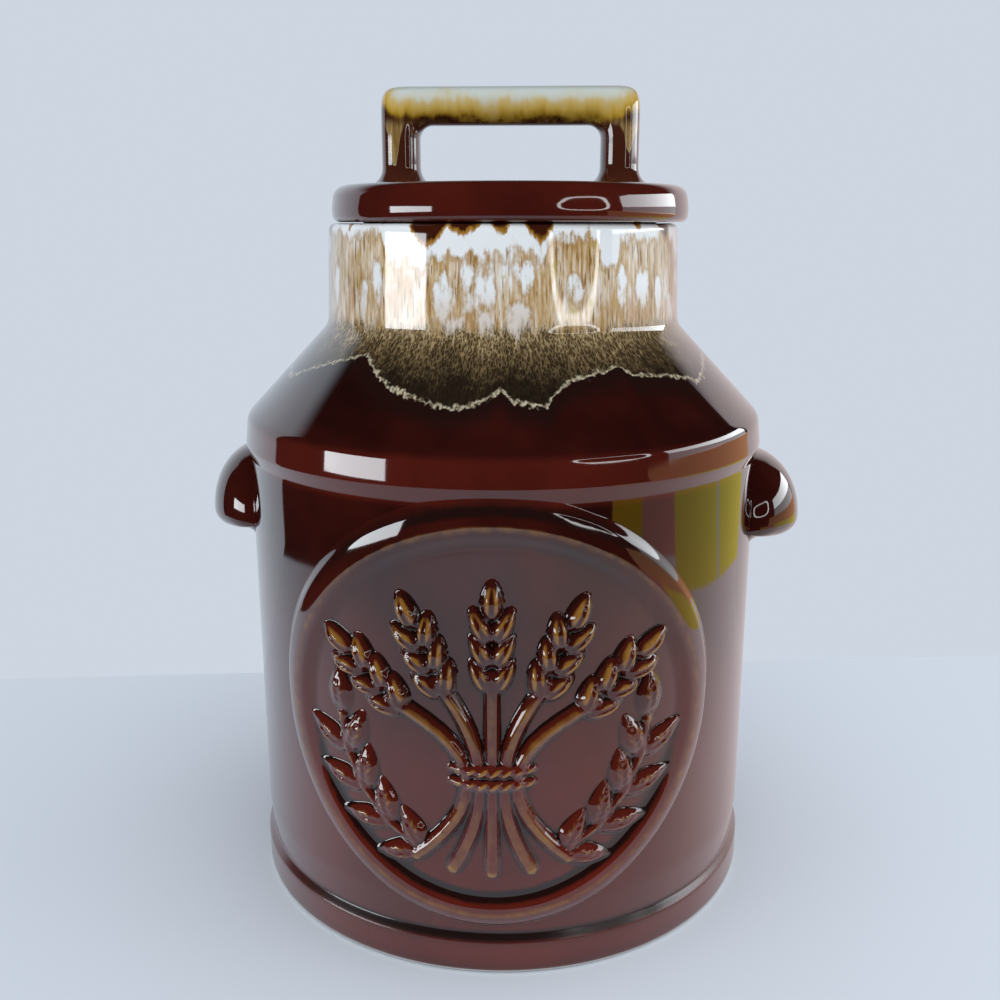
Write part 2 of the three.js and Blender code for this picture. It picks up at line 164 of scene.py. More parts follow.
# Glaze wear and pooling on the ring, and a painted dark reflection on top of its outer flank: amount, place
# out from the crest, and width
RING_WORN = (0.3, -0.6, 1.7)
RING_POOL = (0.5, -5.6, 2.2)
RING_PAINTED_DARK_REFLECTION = (0.45, 4.4, 2.6)
RING_POOL_LOW = 0.85
RING_POOL_FADE = 0.6
STEM_COUNT = 5
STEM_RADIUS = 2.4
STEM_RAISE = 2.9
STEM_FAN = 92.0
STEM_FOOT_FAN = 58.0
STEM_LENGTH = 30.0
STEM_FOOT_LENGTH = 30.0
STEM_CROWDING = 3.4
STEM_DOME = 0.7
TIE_HEIGHT = -14.0
TIE_SPACING = 4.0
TIE_WIDTH = 5.2
TIE_RAISE = 4.1
TIE_OVERHANG = 6.0
TIE_DOME = 0.6
TIE_TWIST = 0.35
TIE_TWIST_RATE = 1.9
TIE_TWIST_LEAN = 0.9
EAR_PAIRS = 3
EAR_PITCH = 7.0
GRAIN_LENGTH = 11.6
GRAIN_WIDTH = 6.0
GRAIN_RAISE = 4.0
GRAIN_TILT = 27.0
GRAIN_SPREAD = 3.0
GRAIN_TAPER = 0.25
GRAIN_DOME = 0.7
# A crease or rib: depth, width, and where it ends as a share of the half length
GRAIN_CREASE = (0.7, 0.55, 1.2)
LEAF_COUNT = 4
LEAF_LENGTH = 15.0
LEAF_WIDTH = 7.4
LEAF_RAISE = 3.2
LEAF_SPREAD = 36.0
LEAF_TAPER = 0.3
LEAF_DOME = 0.75
LEAF_TIP = 1.7
LEAF_BELLY = 1.6
LEAF_RIB = (0.7, 0.7, 1.1)
LEAF_VEIN = 0.1
LEAF_VEIN_RATE = 2.6
LEAF_VEIN_LEAN = 1.2
SPRIG_RADIUS = 43.5
SPRIG_START = 244.0
SPRIG_SWEEP = 62.0
SPRIG_STEM = 1.5
SPRIG_STEM_RAISE = 1.9

# Edge of the drip glaze on the shoulder: angle and height, round the jar
FLOW_EDGE = (
    (-180, 171.0), (-168, 168.6), (-156, 172.4), (-143, 169.0), (-131, 166.8), (-118, 171.2), (-104, 168.2),
    (-92, 173.6), (-79, 170.4), (-66, 167.6), (-55, 171.8), (-45, 174.6), (-37, 176.6), (-33, 173.8),
    (-27, 170.2), (-19, 167.4), (-11, 165.2), (-6, 165.7), (-1.4, 167.3), (1.6, 169.9), (3.9, 166.9),
    (11.5, 165.6), (14, 168.8), (18.6, 171.7), (26.5, 173.2), (32.5, 174.6), (36, 171.6), (47, 170.8),
    (58, 168.0), (70, 171.6), (81, 174.0), (93, 169.4), (106, 166.6), (117, 170.8), (129, 173.0),
    (141, 168.2), (154, 166.4), (167, 170.2), (180, 171.0),
)
# Lower edge of the white glaze under the rim: angle and height, round the jar
WHITE_EDGE = (
    (-180, 206.0), (-163, 209.6), (-158, 203.4), (-141, 204.6), (-133, 209.8), (-119, 209.0), (-114, 203.0),
    (-99, 205.0), (-93, 209.6), (-78, 210.2), (-73, 204.2), (-67, 210.4), (-52, 210.0), (-47, 210.8),
    (-35.5, 210.1), (-33, 202.5), (-21, 202.7), (-18.6, 204.3), (-14.3, 204.9), (-11.7, 204.1), (-7.3, 205.2),
    (-4.5, 203.9), (0.3, 204.4), (1.7, 203.9), (5.4, 206.0), (9.6, 204.9), (13.9, 205.5), (16.3, 208.6),
    (22.9, 209.1), (30.4, 209.6), (31.6, 202.6), (36.9, 200.9), (38.6, 208.5), (47, 209.5), (69, 209.3),
    (74, 203.8), (88, 205.2), (93, 209.6), (109, 209.2), (114, 203.2), (131, 204.4), (137, 209.8),
    (152, 209.0), (158, 203.4), (171, 204.2), (180, 206.0),
)
# White drops on the neck: angle and height of the middle, half width and half height
DROPS = (
    (-15.2, 194.6, 2.5, 4.4), (-8.2, 199.3, 1.6, 3.6), (-4.3, 197.2, 1.4, 3.3), (-1.7, 194.8, 1.3, 4.0),
    (7.6, 199.9, 2.2, 2.7), (-3.3, 185.7, 2.6, 4.6), (6.6, 186.3, 3.4, 5.4), (-12.1, 184.9, 2.6, 3.2),
    (48.1, 195.7, 2.6, 4.0), (39.6, 197.2, 1.5, 2.9), (57.1, 193.4, 2.2, 3.6), (23.3, 197.1, 2.4, 2.4),
    (-38.1, 198.5, 1.5, 4.3), (-44.5, 191.5, 1.6, 4.0), (-62, 196.0, 2.0, 4.0), (-75, 189.0, 2.6, 4.8),
    (-88, 199.0, 1.8, 3.4), (-101, 193.0, 2.4, 4.4), (-115, 197.0, 1.6, 3.2), (-128, 188.0, 2.8, 5.0),
    (-142, 196.0, 2.0, 3.8), (-156, 192.0, 2.4, 4.2), (-170, 197.0, 1.6, 3.4), (66, 187.0, 2.6, 4.8),
    (75, 197.0, 1.8, 3.4), (88, 192.0, 2.4, 4.2), (102, 197.0, 2.0, 3.8), (116, 189.0, 2.6, 5.0),
    (130, 198.0, 1.6, 3.0), (144, 193.0, 2.4, 4.4), (158, 197.0, 2.0, 3.6), (172, 188.0, 2.8, 4.8),
)
DROP_TAIL = 2.0
# Dark runs at the rim: angle at the middle, half width in degrees, and length
RIM_RUNS = (
    (-20.2, 6.0, 6.2), (-9.4, 5.4, 2.6), (1.4, 3.0, 2.4), (12.6, 4.4, 4.4), (46.8, 1.6, 1.2), (62, 4.4, 4.6),
    (83, 3.4, 5.8), (101, 5.0, 4.0), (126, 3.6, 6.4), (148, 4.8, 4.4), (171, 4.0, 6.0), (-166, 3.0, 3.6),
    (-141, 4.8, 5.8), (-117, 3.6, 4.2), (-96, 4.6, 6.4), (-71, 3.4, 3.8), (-52, 1.6, 1.6),
)
RUN_LIFT = 1.4
RUN_POINT = 0.55
# Lower edge of the drip on the handle: place across, and height
LEG_RUNS = (
    (-40.1, 244.0), (-38.4, 243.0), (-37.3, 240.5), (-36.7, 233.5), (-36.0, 230.6), (-35.1, 230.0),
    (-34.4, 232.0), (-33.7, 239.0), (-32.4, 242.4), (-29.0, 243.2), (27.0, 243.2), (33.4, 243.0),
    (34.7, 241.0), (35.5, 236.4), (36.3, 233.8), (37.1, 234.2), (37.9, 238.4), (38.7, 241.0), (40.1, 242.6),
)

# Mesh fineness
JAR_SEGMENTS = 512
LID_SEGMENTS = 256
ARC_STEP = 9.0
ARC_LEAST = 3
FINE_STEP = 1.3
BODY_STEP = 4.0
HIDDEN_MARGIN = 1.0
RELIEF_CELLS = 260
RELIEF_BACK_RINGS = 8
STEM_STEPS = 14
SHORT_STEPS = 9
LONG_STEPS = 30
HANDLE_SIDES = 56
HANDLE_BAR_STEPS = 21
LUG_COLUMNS = 56
LUG_MARGIN_COLUMNS = 12
LUG_UNDER_STEPS = 8
PROUD_PASSES = 12
PROUD_KEPT = 0.2
PROUD_NEAREST = 0.05

# Glaze surface
GLAZE_IOR = 1.62
GLAZE_ROUGHNESS = 0.05
HANDLE_ROUGHNESS = 0.06
GLAZE_WAVE = (45, 2)
WAVE_STRENGTH = 0.25
WAVE_DEPTH = 0.0002
EDGE_GLOSS = 0.75
EDGE_SHARPNESS = 3
NOISE_ROUGHNESS = 0.55

# Glaze colours
BLACK_BROWN = (0.012, 0.004, 0.003)
DEEP_BROWN = (0.011, 0.002, 0.0015)
RED_BROWN = (0.115, 0.013, 0.007)
RUN_BROWN = (0.040, 0.008, 0.003)
LEG_BROWN = (0.055, 0.013, 0.006)
FRINGE_BROWN = (0.34, 0.16, 0.022)
AMBER = (0.24, 0.105, 0.018)
CREAM = (0.76, 0.76, 0.74)
PINK_WHITE = (0.66, 0.57, 0.49)
PINK_TAN = (0.65, 0.53, 0.40)
TAN = (0.53, 0.37, 0.20)
BROWN_TAN = (0.36, 0.20, 0.06)
OLIVE_TAN = (0.42, 0.31, 0.05)
STREAM_TAN = (0.42, 0.31, 0.15)
UMBER = (0.15, 0.065, 0.018)
RUST = (0.40, 0.20, 0.065)
BARE_CLAY = (0.62, 0.6, 0.55)

# In what follows, a noise is its scale, detail and roughness, after its stretch in height if it has one.
# Limits are where a zone starts and is full, or also where it wanes and ends. Heights are in metres.

# Brown glaze
LUG_SHADE = 0.05
RELIEF_SHADE = 0.1
LID_SHADE = 0.28
BROWN_CLOUD = (26, 3)
CLOUD_RANGE = (0.3, 0.7)
CLOUD_SHARE = 0.25
REDDER_DOWN = (0.13, 0.03)
REDDER_SHARE = 0.55
# Redder zones, the bead and the foot: limits, and share
RED_ZONES = (((0.1395, 0.1425, 0.1525, 0.1555), 0.4), ((0.002, 0.006, 0.008, 0.0105), 0.22))
# Painted dark reflection in the foot groove, at the front and back only: height limits, and how far across it
# fades out
GROOVE_PAINTED_DARK_ZONE = (0.0102, 0.0115, 0.0125, 0.0145)
GROOVE_PAINTED_DARK_ENDS = (0.078, 0.045)
BROWN_GRAIN = (260, 2)
BROWN_GRAIN_SHARE = 0.2
POOLED = (-0.08, -0.4)
WORN = (0.24, 0.52)
BARE_FOOT = (0.0016, 0.0009)
BARE_ROUGHNESS = 0.4
DULL_FOOT = (0.017, 0.011)
DULL_ROUGHNESS = 0.2

# Tan and white glaze of the neck
NECK_FIBRE = (0.1, 1000, 4, 0.62)
NECK_FIBRE_SHARE = 0.6
NECK_BROAD = (0.35, 150, 3)
NECK_BROAD_SHARE = 0.5
NECK_TANS = ((0.38, UMBER), (0.45, BROWN_TAN), (0.53, TAN), (0.62, PINK_TAN), (0.72, CREAM))
# Marks in the tan: noise, limits, share and colour
NECK_MARKS = (
    ((0.6, 240, 2), (0.60, 0.70), 0.6, OLIVE_TAN),
    ((0.45, 85, 3), (0.50, 0.68), 0.75, RUST),
    ((0.07, 1500, 2, 0.5), (0.41, 0.33), 0.8, UMBER),
)
WHITE_SPREAD = 0.4
# Noises that move the edge of the white, and how far in millimetres
WHITE_SWAYS = (((0.16, 900, 4, 0.6), 6.5), ((0.5, 270, 4, 0.6), 14.0))
WHITE_LIMIT = (-1.2, 2.0)
WHITE_FRINGE = (-3.0, -0.6)
WHITE_FRINGE_SHARE = 0.55
PINK_BELOW = (0.187, 0.197)

# Dark runs at the rim, by millimetres below them
RUN_RAGGED = (0.4, 560, 5, 0.65)
RUN_RAGGED_SHARE = 5.5
RUN_FRINGE = (0.4, 1.5)
RUN_LIMIT = (-1.2, 0.4)
RUN_ZONE = (18, 22)

# Speckled band on the shoulder: a net of threads on a dark ground, and its edge by millimetres above it
BAND_FIBRE = (0.2, 620, 4, 0.6)
BAND_SWAY = 0.012
BAND_THINNING = (0.165, 0.187)
BAND_TOP = (0.1825, 0.187)
BAND_GROUND = ((0.15, (0.012, 0.007, 0.004)), (0.6, (0.034, 0.021, 0.010)), (1.0, (0.10, 0.058, 0.022)))
BAND_THREADS = ((0.15, (0.02, 0.013, 0.007)), (0.6, (0.15, 0.10, 0.044)), (1.0, (0.42, 0.31, 0.16)))
GRIT = ((0.40, (0.10, 0.07, 0.035)), (0.56, (0.46, 0.39, 0.27)))
SPECK_RISE = 0.35
SPECK = (1500, 3, 0.6)
SPECK_SHARE = 0.9
PATCH_RISE = 0.4
PATCH = (130, 3)
PATCH_SHARE = 0.9
NET_RISE = 0.45
NET_SCALE = 1500
NET_LIMIT = (0.66, 0.40)
FLOW_RAGGED = (480, 5, 0.65)
FLOW_RAGGED_SHARE = 4.6
FLOW_LACE = (0.3, 0.95)
FLOW_LIMIT = (-0.25, 0.0)
FLOW_SHADE = (-8, -1)

# Drip on the handle: the bar's colours from its lower edge up, and the streams on its legs
HANDLE_FIBRE = (0.2, 420, 3)
HANDLE_FIBRE_SHARE = 0.6
HANDLE_BROAD = (0.5, 130, 2, 0.5)
HANDLE_BROAD_SHARE = 1.4
BAR_SWAY = 0.55
BAR_ENDS = (0.032, 0.039)
BAR_ENDS_DROP = -0.32
BAR_START = (0.2405, 0.2445)
BAR_COLOURS = (
    (0.02, (0.045, 0.013, 0.004)), (0.11, (0.15, 0.07, 0.008)), (0.20, (0.36, 0.21, 0.02)),
    (0.36, (0.50, 0.32, 0.06)), (0.54, (0.53, 0.38, 0.15)), (0.70, (0.52, 0.50, 0.39)),
    (0.88, (0.52, 0.54, 0.49)),
)
STREAM_COLOURS = ((0.35, (0.11, 0.045, 0.012)), (0.52, (0.24, 0.14, 0.04)), (0.68, STREAM_TAN))
LEG_RUN_SWAY = 3
STREAM_RIM = (0.25, 0.6)
STREAM_LIMIT = (-0.2, 0.1)
CORNER_LIMIT = (-1.5, 0.4)
LEG_TOP = (0.236, 0.2425)

# Stage sheets, in millimetres
TABLE_SIDE = 3000.0
TABLE_LINE = 142.6
TABLE_LINE_SLOPE = 0.0965
BACKDROP_HEIGHT = 700.0
WALL_LEFT = -450.0
WALL_RIGHT = 285.0
WALL_TOP_LEFT = 455.0
WALL_TOP_RIGHT = 375.0

# Stage colours and limits, in metres
WALL_COLOUR = (0.61, 0.67, 0.75)
# Rosy on the right of the wall and of the table as the glaze shows them: a painted warm light from the right.
WALL_PAINTED_WARM_LIGHT = (0.73, 0.64, 0.65)
WALL_WARM_LIGHT_LIMITS = (0.0, 0.12)
WALL_FADE = 0.11
TABLE_COLOUR = (0.66, 0.68, 0.71)
TABLE_ROUGHNESS = 0.8
TABLE_PAINTED_WARM_LIGHT = (0.80, 0.66, 0.63)
TABLE_WARM_LIGHT_LIMITS = (0.02, 0.12)
BOARD_HALF_WIDTH = 0.42
BOARD_HALF_DEPTH = 0.5
BOARD_EDGE = (1.0, 1.05)
ROOM_COLOUR = (0.014, 0.008, 0.008)
OLIVE = (0.85, 0.72, 0.13)
MAUVE = (0.72, 0.34, 0.31)
GOLD = (0.75, 0.5, 0.02)
ORANGE = (0.8, 0.4, 0.2)
# What stands to the right of the table: where it starts, by Y over X, its colour, and the board's
# half width there
BESIDE = (
    (-9.0, ROOM_COLOUR, 0.51),
    (-0.97, GOLD, 0.51),
    (-0.59, MAUVE, 0.45),
    (-0.25, OLIVE, 0.375),
    (0.235, WALL_COLOUR, 0.375),
    (0.26, OLIVE, 0.375),
)
BESIDE_DEPTH = (0.62, 0.682)
ORANGE_START = -0.5

# Lights, in metres
LAMP_COLOUR = (0.92, 0.96, 1.0)
LIGHT_MIDDLE = Vector((0, 0, 0.18))
WINDOW_DISTANCE = 2.0
# Windows: first and last angle round the jar, lowest and highest angle, and brightness
WINDOWS = (
    ("left_window", -76.5, -46.5, -5, 6, 9),
    ("right_window", 74, 130, 5, 17, 4.5),
    ("right_garden", 74, 130, -4, 4.6, 1.0),
)
# Lamps that don't show in the glaze: angle round the jar, angle up, distance, width, height, brightness
SOFT_LAMPS = (
    ("soft_fill", 0, 70, 1.5, 1.6, 1.6, 0.8),
    ("right_fill", 55, 40, 1.5, 1.2, 1.2, 0.85),
    ("front_fill", 0, 27, 0.75, 0.5, 0.4, 1.0),
)
RING_LAMP_ANGLES = (46.5, 8.5)
RING_LAMP_DISTANCE = 0.8
RING_LAMP_HALF_WIDTH = 0.24
RING_LAMP_HALF_HEIGHT = 0.135
RING_LAMP_BAND = 0.13
RING_LAMP_SQUARENESS = 3.2
RING_LAMP_GLOW = 6.5
RING_LAMP_STEPS = 48


def linked(name, points, faces):
    """A smooth mesh object from points in millimetres."""
    mesh = bpy.data.meshes.new(name)
    mesh.from_pydata((np.asarray(points) * MM).tolist(), [], faces)
    mesh.validate()
    mesh.polygons.foreach_set("use_smooth", [True] * len(mesh.polygons))
    mesh.update()
    piece = bpy.data.objects.new(name, mesh)
    bpy.context.scene.collection.objects.link(piece)
    return piece


def store(piece, name, values):
    """A number at each vertex, for the glaze to read."""
    layer = piece.data.attributes.new(name, "FLOAT", "POINT")
    layer.data.foreach_set("value", np.asarray(values, dtype=np.float32))


def places(piece):
    """The vertices of a piece, in millimetres."""
    flat = np.empty(len(piece.data.vertices) * 3)
    piece.data.vertices.foreach_get("co", flat)
    return flat.reshape(-1, 3) / MM


def proud_of(piece):
    """How far each vertex stands proud of its smoothed surroundings, in millimetres."""
    mesh = piece.data
    start = places(piece)
    ends = np.empty(len(mesh.edges) * 2, dtype=np.int64)
    mesh.edges.foreach_get("vertices", ends)
    a, b = ends.reshape(-1, 2).T
    pull = 1 / np.maximum(np.linalg.norm(start[a] - start[b], axis=1), PROUD_NEAREST) ** 2
    total = np.bincount(a, pull, len(start)) + np.bincount(b, pull, len(start))
    smooth = start.copy()
    for _ in range(PROUD_PASSES):
        for axis in range(3):
            value = smooth[:, axis].copy()
            near = np.bincount(a, pull * value[b], len(start)) + np.bincount(b, pull * value[a], len(start))
            smooth[:, axis] = PROUD_KEPT * value + (1 - PROUD_KEPT) * near / total
    normals = np.empty(len(start) * 3)
    mesh.vertices.foreach_get("normal", normals)
    return ((start - smooth) * normals.reshape(-1, 3)).sum(axis=1)


def finished(piece, material, body, slot, *nodes):
    """Gives a piece its glaze and its place in the frame."""
    piece.data.materials.append(material)
    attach(piece, body)
    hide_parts(*nodes)


# Turned pieces


def rounded(corners):
    """Points through corners (radius, height, fillet), with an arc at each corner that has a fillet."""
    points = []
    for index, (radius, height, fillet) in enumerate(corners):
        corner = np.array((radius, height))
        if fillet == 0:
            points.append(corner)
            continue
        back = np.array(corners[index - 1][:2]) - corner
        ahead = np.array(corners[index + 1][:2]) - corner
        room = min(np.linalg.norm(back), np.linalg.norm(ahead)) / 2
        back = back / np.linalg.norm(back)
        ahead = ahead / np.linalg.norm(ahead)
        half = math.acos(float(back @ ahead)) / 2
        setback = min(fillet / math.tan(half), room)
        middle = (back + ahead) / np.linalg.norm(back + ahead)
        centre = corner + middle * setback / math.cos(half)
        start = corner + back * setback - centre
        end = corner + ahead * setback - centre
        sweep = math.pi - 2 * half
        count = max(ARC_LEAST, math.ceil(math.degrees(sweep) / ARC_STEP))
        for step in range(count + 1):
            share = step / count
            arm = math.sin((1 - share) * sweep) * start + math.sin(share * sweep) * end
            points.append(centre + arm / math.sin(sweep))
    return points


def subdivided(points, step_at):
    """The same line with its long stretches cut up, by a step that depends on the middle of each."""
    fine = [points[0]]
    for a, b in zip(points, points[1:]):
        count = max(1, math.ceil(np.linalg.norm(b - a) / step_at((a + b) / 2)))
        fine += [a + (b - a) * step / count for step in range(1, count + 1)]
    return np.array(fine)


def turned(name, outline, segments, shift=0.0):
    """A solid turned about the jar's axis, from an outline that starts and ends on the axis."""
    angles = 2 * math.pi * np.arange(segments) / segments
    rings = outline[1:-1]
    radius, height = rings.T
    x = np.outer(radius, np.cos(angles)) + shift
    y = np.outer(radius, np.sin(angles))
    z = np.repeat(height[:, None], segments, axis=1)
    points = np.stack((x, y, z), axis=-1).reshape(-1, 3)
    ends = [(shift, 0, outline[0][1]), (shift, 0, outline[-1][1])]
    start = len(points)
    last = (len(rings) - 1) * segments
    faces = []
    for j in range(segments):
        k = (j + 1) % segments
        faces.append((start, k, j))
        for row in range(0, last, segments):
            faces.append((row + j, row + k, row + segments + k, row + segments + j))
        faces.append((last + j, last + k, start + 1))
    return linked(name, np.concatenate((points, ends)), faces)


def jar_outline():
    ring_inside = FOOT_RADIUS - FOOT_RING_WIDTH
    groove = FOOT_BAND + GROOVE_RISE
    floor = FOOT_RECESS + FLOOR
    corners = [
        (0, FOOT_RECESS, 0),
        (ring_inside, FOOT_RECESS, FOOT_INNER_FILLET),
        (ring_inside, 0, FOOT_INNER_FILLET),
        (FOOT_RADIUS, 0, FOOT_EDGE),
        (FOOT_RADIUS, FOOT_BAND, GROOVE_FILLET),
        (GROOVE_RADIUS, groove, GROOVE_FILLET),
        (BODY_RADIUS, groove + GROOVE_RUNOUT, 0),
        (BODY_RADIUS, BODY_TOP, BEAD_FILLET),
        (BEAD_RADIUS, BEAD_BOTTOM, BEAD_FILLET),
        (BEAD_TOP_RADIUS, BEAD_TOP, SHOULDER_FILLET),
        (NECK_RADIUS, SHOULDER_TOP, NECK_FILLET),
        (RIM_RADIUS, RIM_HEIGHT, RIM_FILLET),
        (MOUTH_RADIUS, RIM_HEIGHT, RIM_FILLET),
        (MOUTH_RADIUS, SHOULDER_TOP - WALL_DROP, NECK_FILLET),
        (INNER_RADIUS, BEAD_TOP - WALL_DROP, INNER_FILLET),
        (INNER_RADIUS, floor, FLOOR_FILLET),
        (0, floor, 0),
    ]

    def step_at(place):
        inside = place[0] < MOUTH_RADIUS + HIDDEN_MARGIN or place[1] < HIDDEN_MARGIN
        plain = groove + GROOVE_RUNOUT < place[1] < BODY_TOP
        return BODY_STEP if inside or plain else FINE_STEP

    return subdivided(rounded(corners), step_at)


def around(angle, middle):
    """Degrees from the middle, the short way round."""
    return (angle - middle + 180) % 360 - 180


def white_glaze(angle, z):
    """How far a place lies inside the white zone under the rim or a white drop, in millimetres."""
    edge_angle, edge_height = np.array(WHITE_EDGE).T
    white = z - np.interp(angle, edge_angle, edge_height)
    for middle, height, half_width, half_height in DROPS:
        across = np.radians(around(angle, middle)) * NECK_RADIUS / half_width
        up = (z - height) / half_height
        up = np.where(up < 0, up / DROP_TAIL, up)
        white = np.maximum(white, half_width * (1 - across ** 2 - up ** 2))
    return white


def store_drips(piece):
    """Height over the edge of the drip glaze, distance below the dark runs, and the white places."""
    x, y, z = places(piece).T
    angle = np.degrees(np.arctan2(x, -y))
    skin = np.interp(z, (BEAD_TOP, SHOULDER_TOP, RIM_HEIGHT), (BEAD_RADIUS, NECK_RADIUS, RIM_RADIUS))
    edge_angle, edge_height = np.array(FLOW_EDGE).T
    flow = z - np.interp(angle, edge_angle, edge_height)
    flow[np.hypot(x, y) < skin - WALL / 2] = -WALL
    run = np.zeros(len(z))
    for middle, half_width, length in RIM_RUNS:
        off = np.abs(around(angle, middle)) / half_width
        run = np.maximum(run, (length + RUN_LIFT) * np.clip(1 - off, 0, 1) ** RUN_POINT)
    store(piece, "flow", flow)
    store(piece, "below_run", RIM_HEIGHT + RUN_LIFT - z - run)
    store(piece, "white", white_glaze(angle, z))


def build_jar(glaze):
    piece = turned("glazed_jar", jar_outline(), JAR_SEGMENTS)
    store_drips(piece)
    finished(piece, glaze, "jar", "body_glaze", "jar_body")


def build_lid(glaze):
    recess = FLANGE_RADIUS - FLANGE_WALL
    flange_end = LID_BOTTOM - FLANGE_DEPTH
    corners = [
        (0, LID_TOP - LID_WEB, 0),
        (recess, LID_TOP - LID_WEB, FLANGE_FILLET),
        (recess, flange_end, FLANGE_FILLET),
        (FLANGE_RADIUS, flange_end, FLANGE_FILLET),
        (FLANGE_RADIUS, LID_BOTTOM, FLANGE_ROOT_FILLET),
        (LID_RADIUS - LID_BOTTOM_INSET, LID_BOTTOM, LID_BOTTOM_FILLET),
        (LID_RADIUS, LID_BOTTOM + LID_WIDEST, LID_SIDE_FILLET),
        (LID_RADIUS - LID_TOP_INSET, LID_TOP - LID_CROWN, LID_TOP_FILLET),
        (LID_FLAT_RADIUS, LID_TOP, LID_CROWN_FILLET),
        (0, LID_TOP, 0),
    ]
    outline = subdivided(rounded(corners), lambda place: FINE_STEP)
    piece = turned("glazed_lid", outline, LID_SEGMENTS, LID_SHIFT)
    finished(piece, glaze, "lid", "body_glaze", "lid")


# Handle


def flare(radius, height):
    """How far a fillet of this radius stands out from its wall, at a height above where it starts."""
    rest = max(radius - height, 0)
    return radius - math.sqrt(radius ** 2 - rest ** 2)


def handle_spine():
    """Pairs of inside and outside points (x, z) along half the handle, with the depth at each."""
    leg_out = HANDLE_LENGTH / 2
    leg_in = leg_out - HANDLE_LEG
    pivot_x = leg_in - HANDLE_INNER_CORNER
    pivot_z = BAR_BOTTOM - HANDLE_INNER_CORNER
    spine = []

    def add_foot(out, z):
        spine.append(((leg_in - out, z), (leg_out + out, z), HANDLE_DEPTH + 2 * out))

    add_foot(HANDLE_FLARE, LID_TOP - HANDLE_SUNK)
    for step in range(SHORT_STEPS + 1):
        rise = HANDLE_FLARE * (step / SHORT_STEPS) ** 2
        add_foot(flare(HANDLE_FLARE, rise), LID_TOP + rise)
    for z in np.linspace(LID_TOP + HANDLE_FLARE, pivot_z, SHORT_STEPS + 1)[1:-1]:
        add_foot(0, z)
    for angle in np.radians(np.linspace(0, 90, LONG_STEPS + 1)):
        x = math.cos(angle)
        z = math.sin(angle)
        share = (x / (HANDLE_INNER_CORNER + HANDLE_LEG)) ** HANDLE_CORNER_SQUARENESS
        share += (z / (HANDLE_INNER_CORNER + HANDLE_BAR)) ** HANDLE_CORNER_SQUARENESS
        reach = share ** (-1 / HANDLE_CORNER_SQUARENESS)
        inner = (pivot_x + x * HANDLE_INNER_CORNER, pivot_z + z * HANDLE_INNER_CORNER)
        spine.append((inner, (pivot_x + x * reach, pivot_z + z * reach), HANDLE_DEPTH))
    for x in np.linspace(pivot_x, 0, HANDLE_BAR_STEPS + 1)[1:]:
        spine.append(((x, BAR_BOTTOM), (x, BAR_BOTTOM + HANDLE_BAR), HANDLE_DEPTH))
    return spine


def superellipse(count, half_a, half_b, squareness):
    angles = 2 * math.pi * np.arange(count) / count
    share = np.abs(np.cos(angles) / half_a) ** squareness + np.abs(np.sin(angles) / half_b) ** squareness
    reach = share ** (-1 / squareness)
    return reach * np.cos(angles), reach * np.sin(angles)


def store_run(piece):
    """Height over the lower edge of the drip, which runs down each leg."""
    x, _, z = places(piece).T
    edge_x, edge_z = np.array(LEG_RUNS).T
    store(piece, "run", z - np.interp(x - LID_SHIFT, edge_x, edge_z))


def build_handle(glaze):
    sides = HANDLE_SIDES
    half = handle_spine()
    stations = [(-1, *ring) for ring in half] + [(1, *ring) for ring in half[-2::-1]]
    rings = []
    for sign, inner, outer, depth in stations:
        inner = np.array(inner)
        outer = np.array(outer)
        width = np.linalg.norm(outer - inner)
        across, deep = superellipse(sides, width / 2, depth / 2, HANDLE_SECTION_SQUARENESS)
        spot = (inner + outer) / 2 + np.outer(across, (outer - inner) / width)
        rings.append(np.stack((sign * spot[:, 0] + LID_SHIFT, deep, spot[:, 1]), axis=-1))
    points = np.concatenate(rings)
    faces = []
    for row in range(0, len(points) - sides, sides):
        for j in range(sides):
            k = (j + 1) % sides
            faces.append((row + k, row + j, row + sides + j, row + sides + k))
    last = len(points) - sides
    faces.append(tuple(range(sides)))
    faces.append(tuple(range(last + sides - 1, last - 1, -1)))
    piece = linked("glazed_handle", points, faces)
    store_run(piece)
    finished(piece, glaze, "lid", "handle_glaze", "lid_handle")


# Lugs


def soft_step(value):
    value = np.clip(value, 0, 1)
    return value * value * (3 - 2 * value)


def soft_max(a, b, blend):
    """The larger of two heights, with the hollow between them rounded over this much height."""
    return np.maximum(a, b) + np.maximum(blend - np.abs(a - b), 0) ** 2 / (4 * blend)


def lug_profile(whole, share):
    """Outline of the lug at one place across it: points (out, height) from under the lug to its top."""
    reach = whole * share
    bottom = LUG_BOTTOM + LUG_SAG * (1 - share)
    under = min(LUG_UNDER_FILLET, reach * LUG_FILLET_LIMIT)
    edge = min(LUG_EDGE, reach * LUG_FILLET_LIMIT)
    points = [(0, bottom - LUG_UNDER_FILLET - below) for below in LUG_ROOT_BELOW]
    for angle in np.radians(np.linspace(180, 90, LUG_UNDER_STEPS + 1)):
        points.append((under + under * math.cos(angle), bottom - under + under * math.sin(angle)))
    for part in (0.25, 0.5, 0.75):
        points.append((under + (reach - edge - under) * part, bottom))
    for angle in np.radians(np.linspace(-90, 0, SHORT_STEPS + 1)):
        points.append((reach - edge + edge * math.cos(angle), bottom + edge + edge * math.sin(angle)))
    base = bottom + edge
    for angle in np.radians(np.linspace(0, 90, LONG_STEPS + 1)[1:]):
        points.append((reach * math.cos(angle), base + (LUG_TOP - base) * math.sin(angle)))
    points += [(0, LUG_TOP + above) for above in LUG_ROOT_ABOVE]
    return np.array(points)


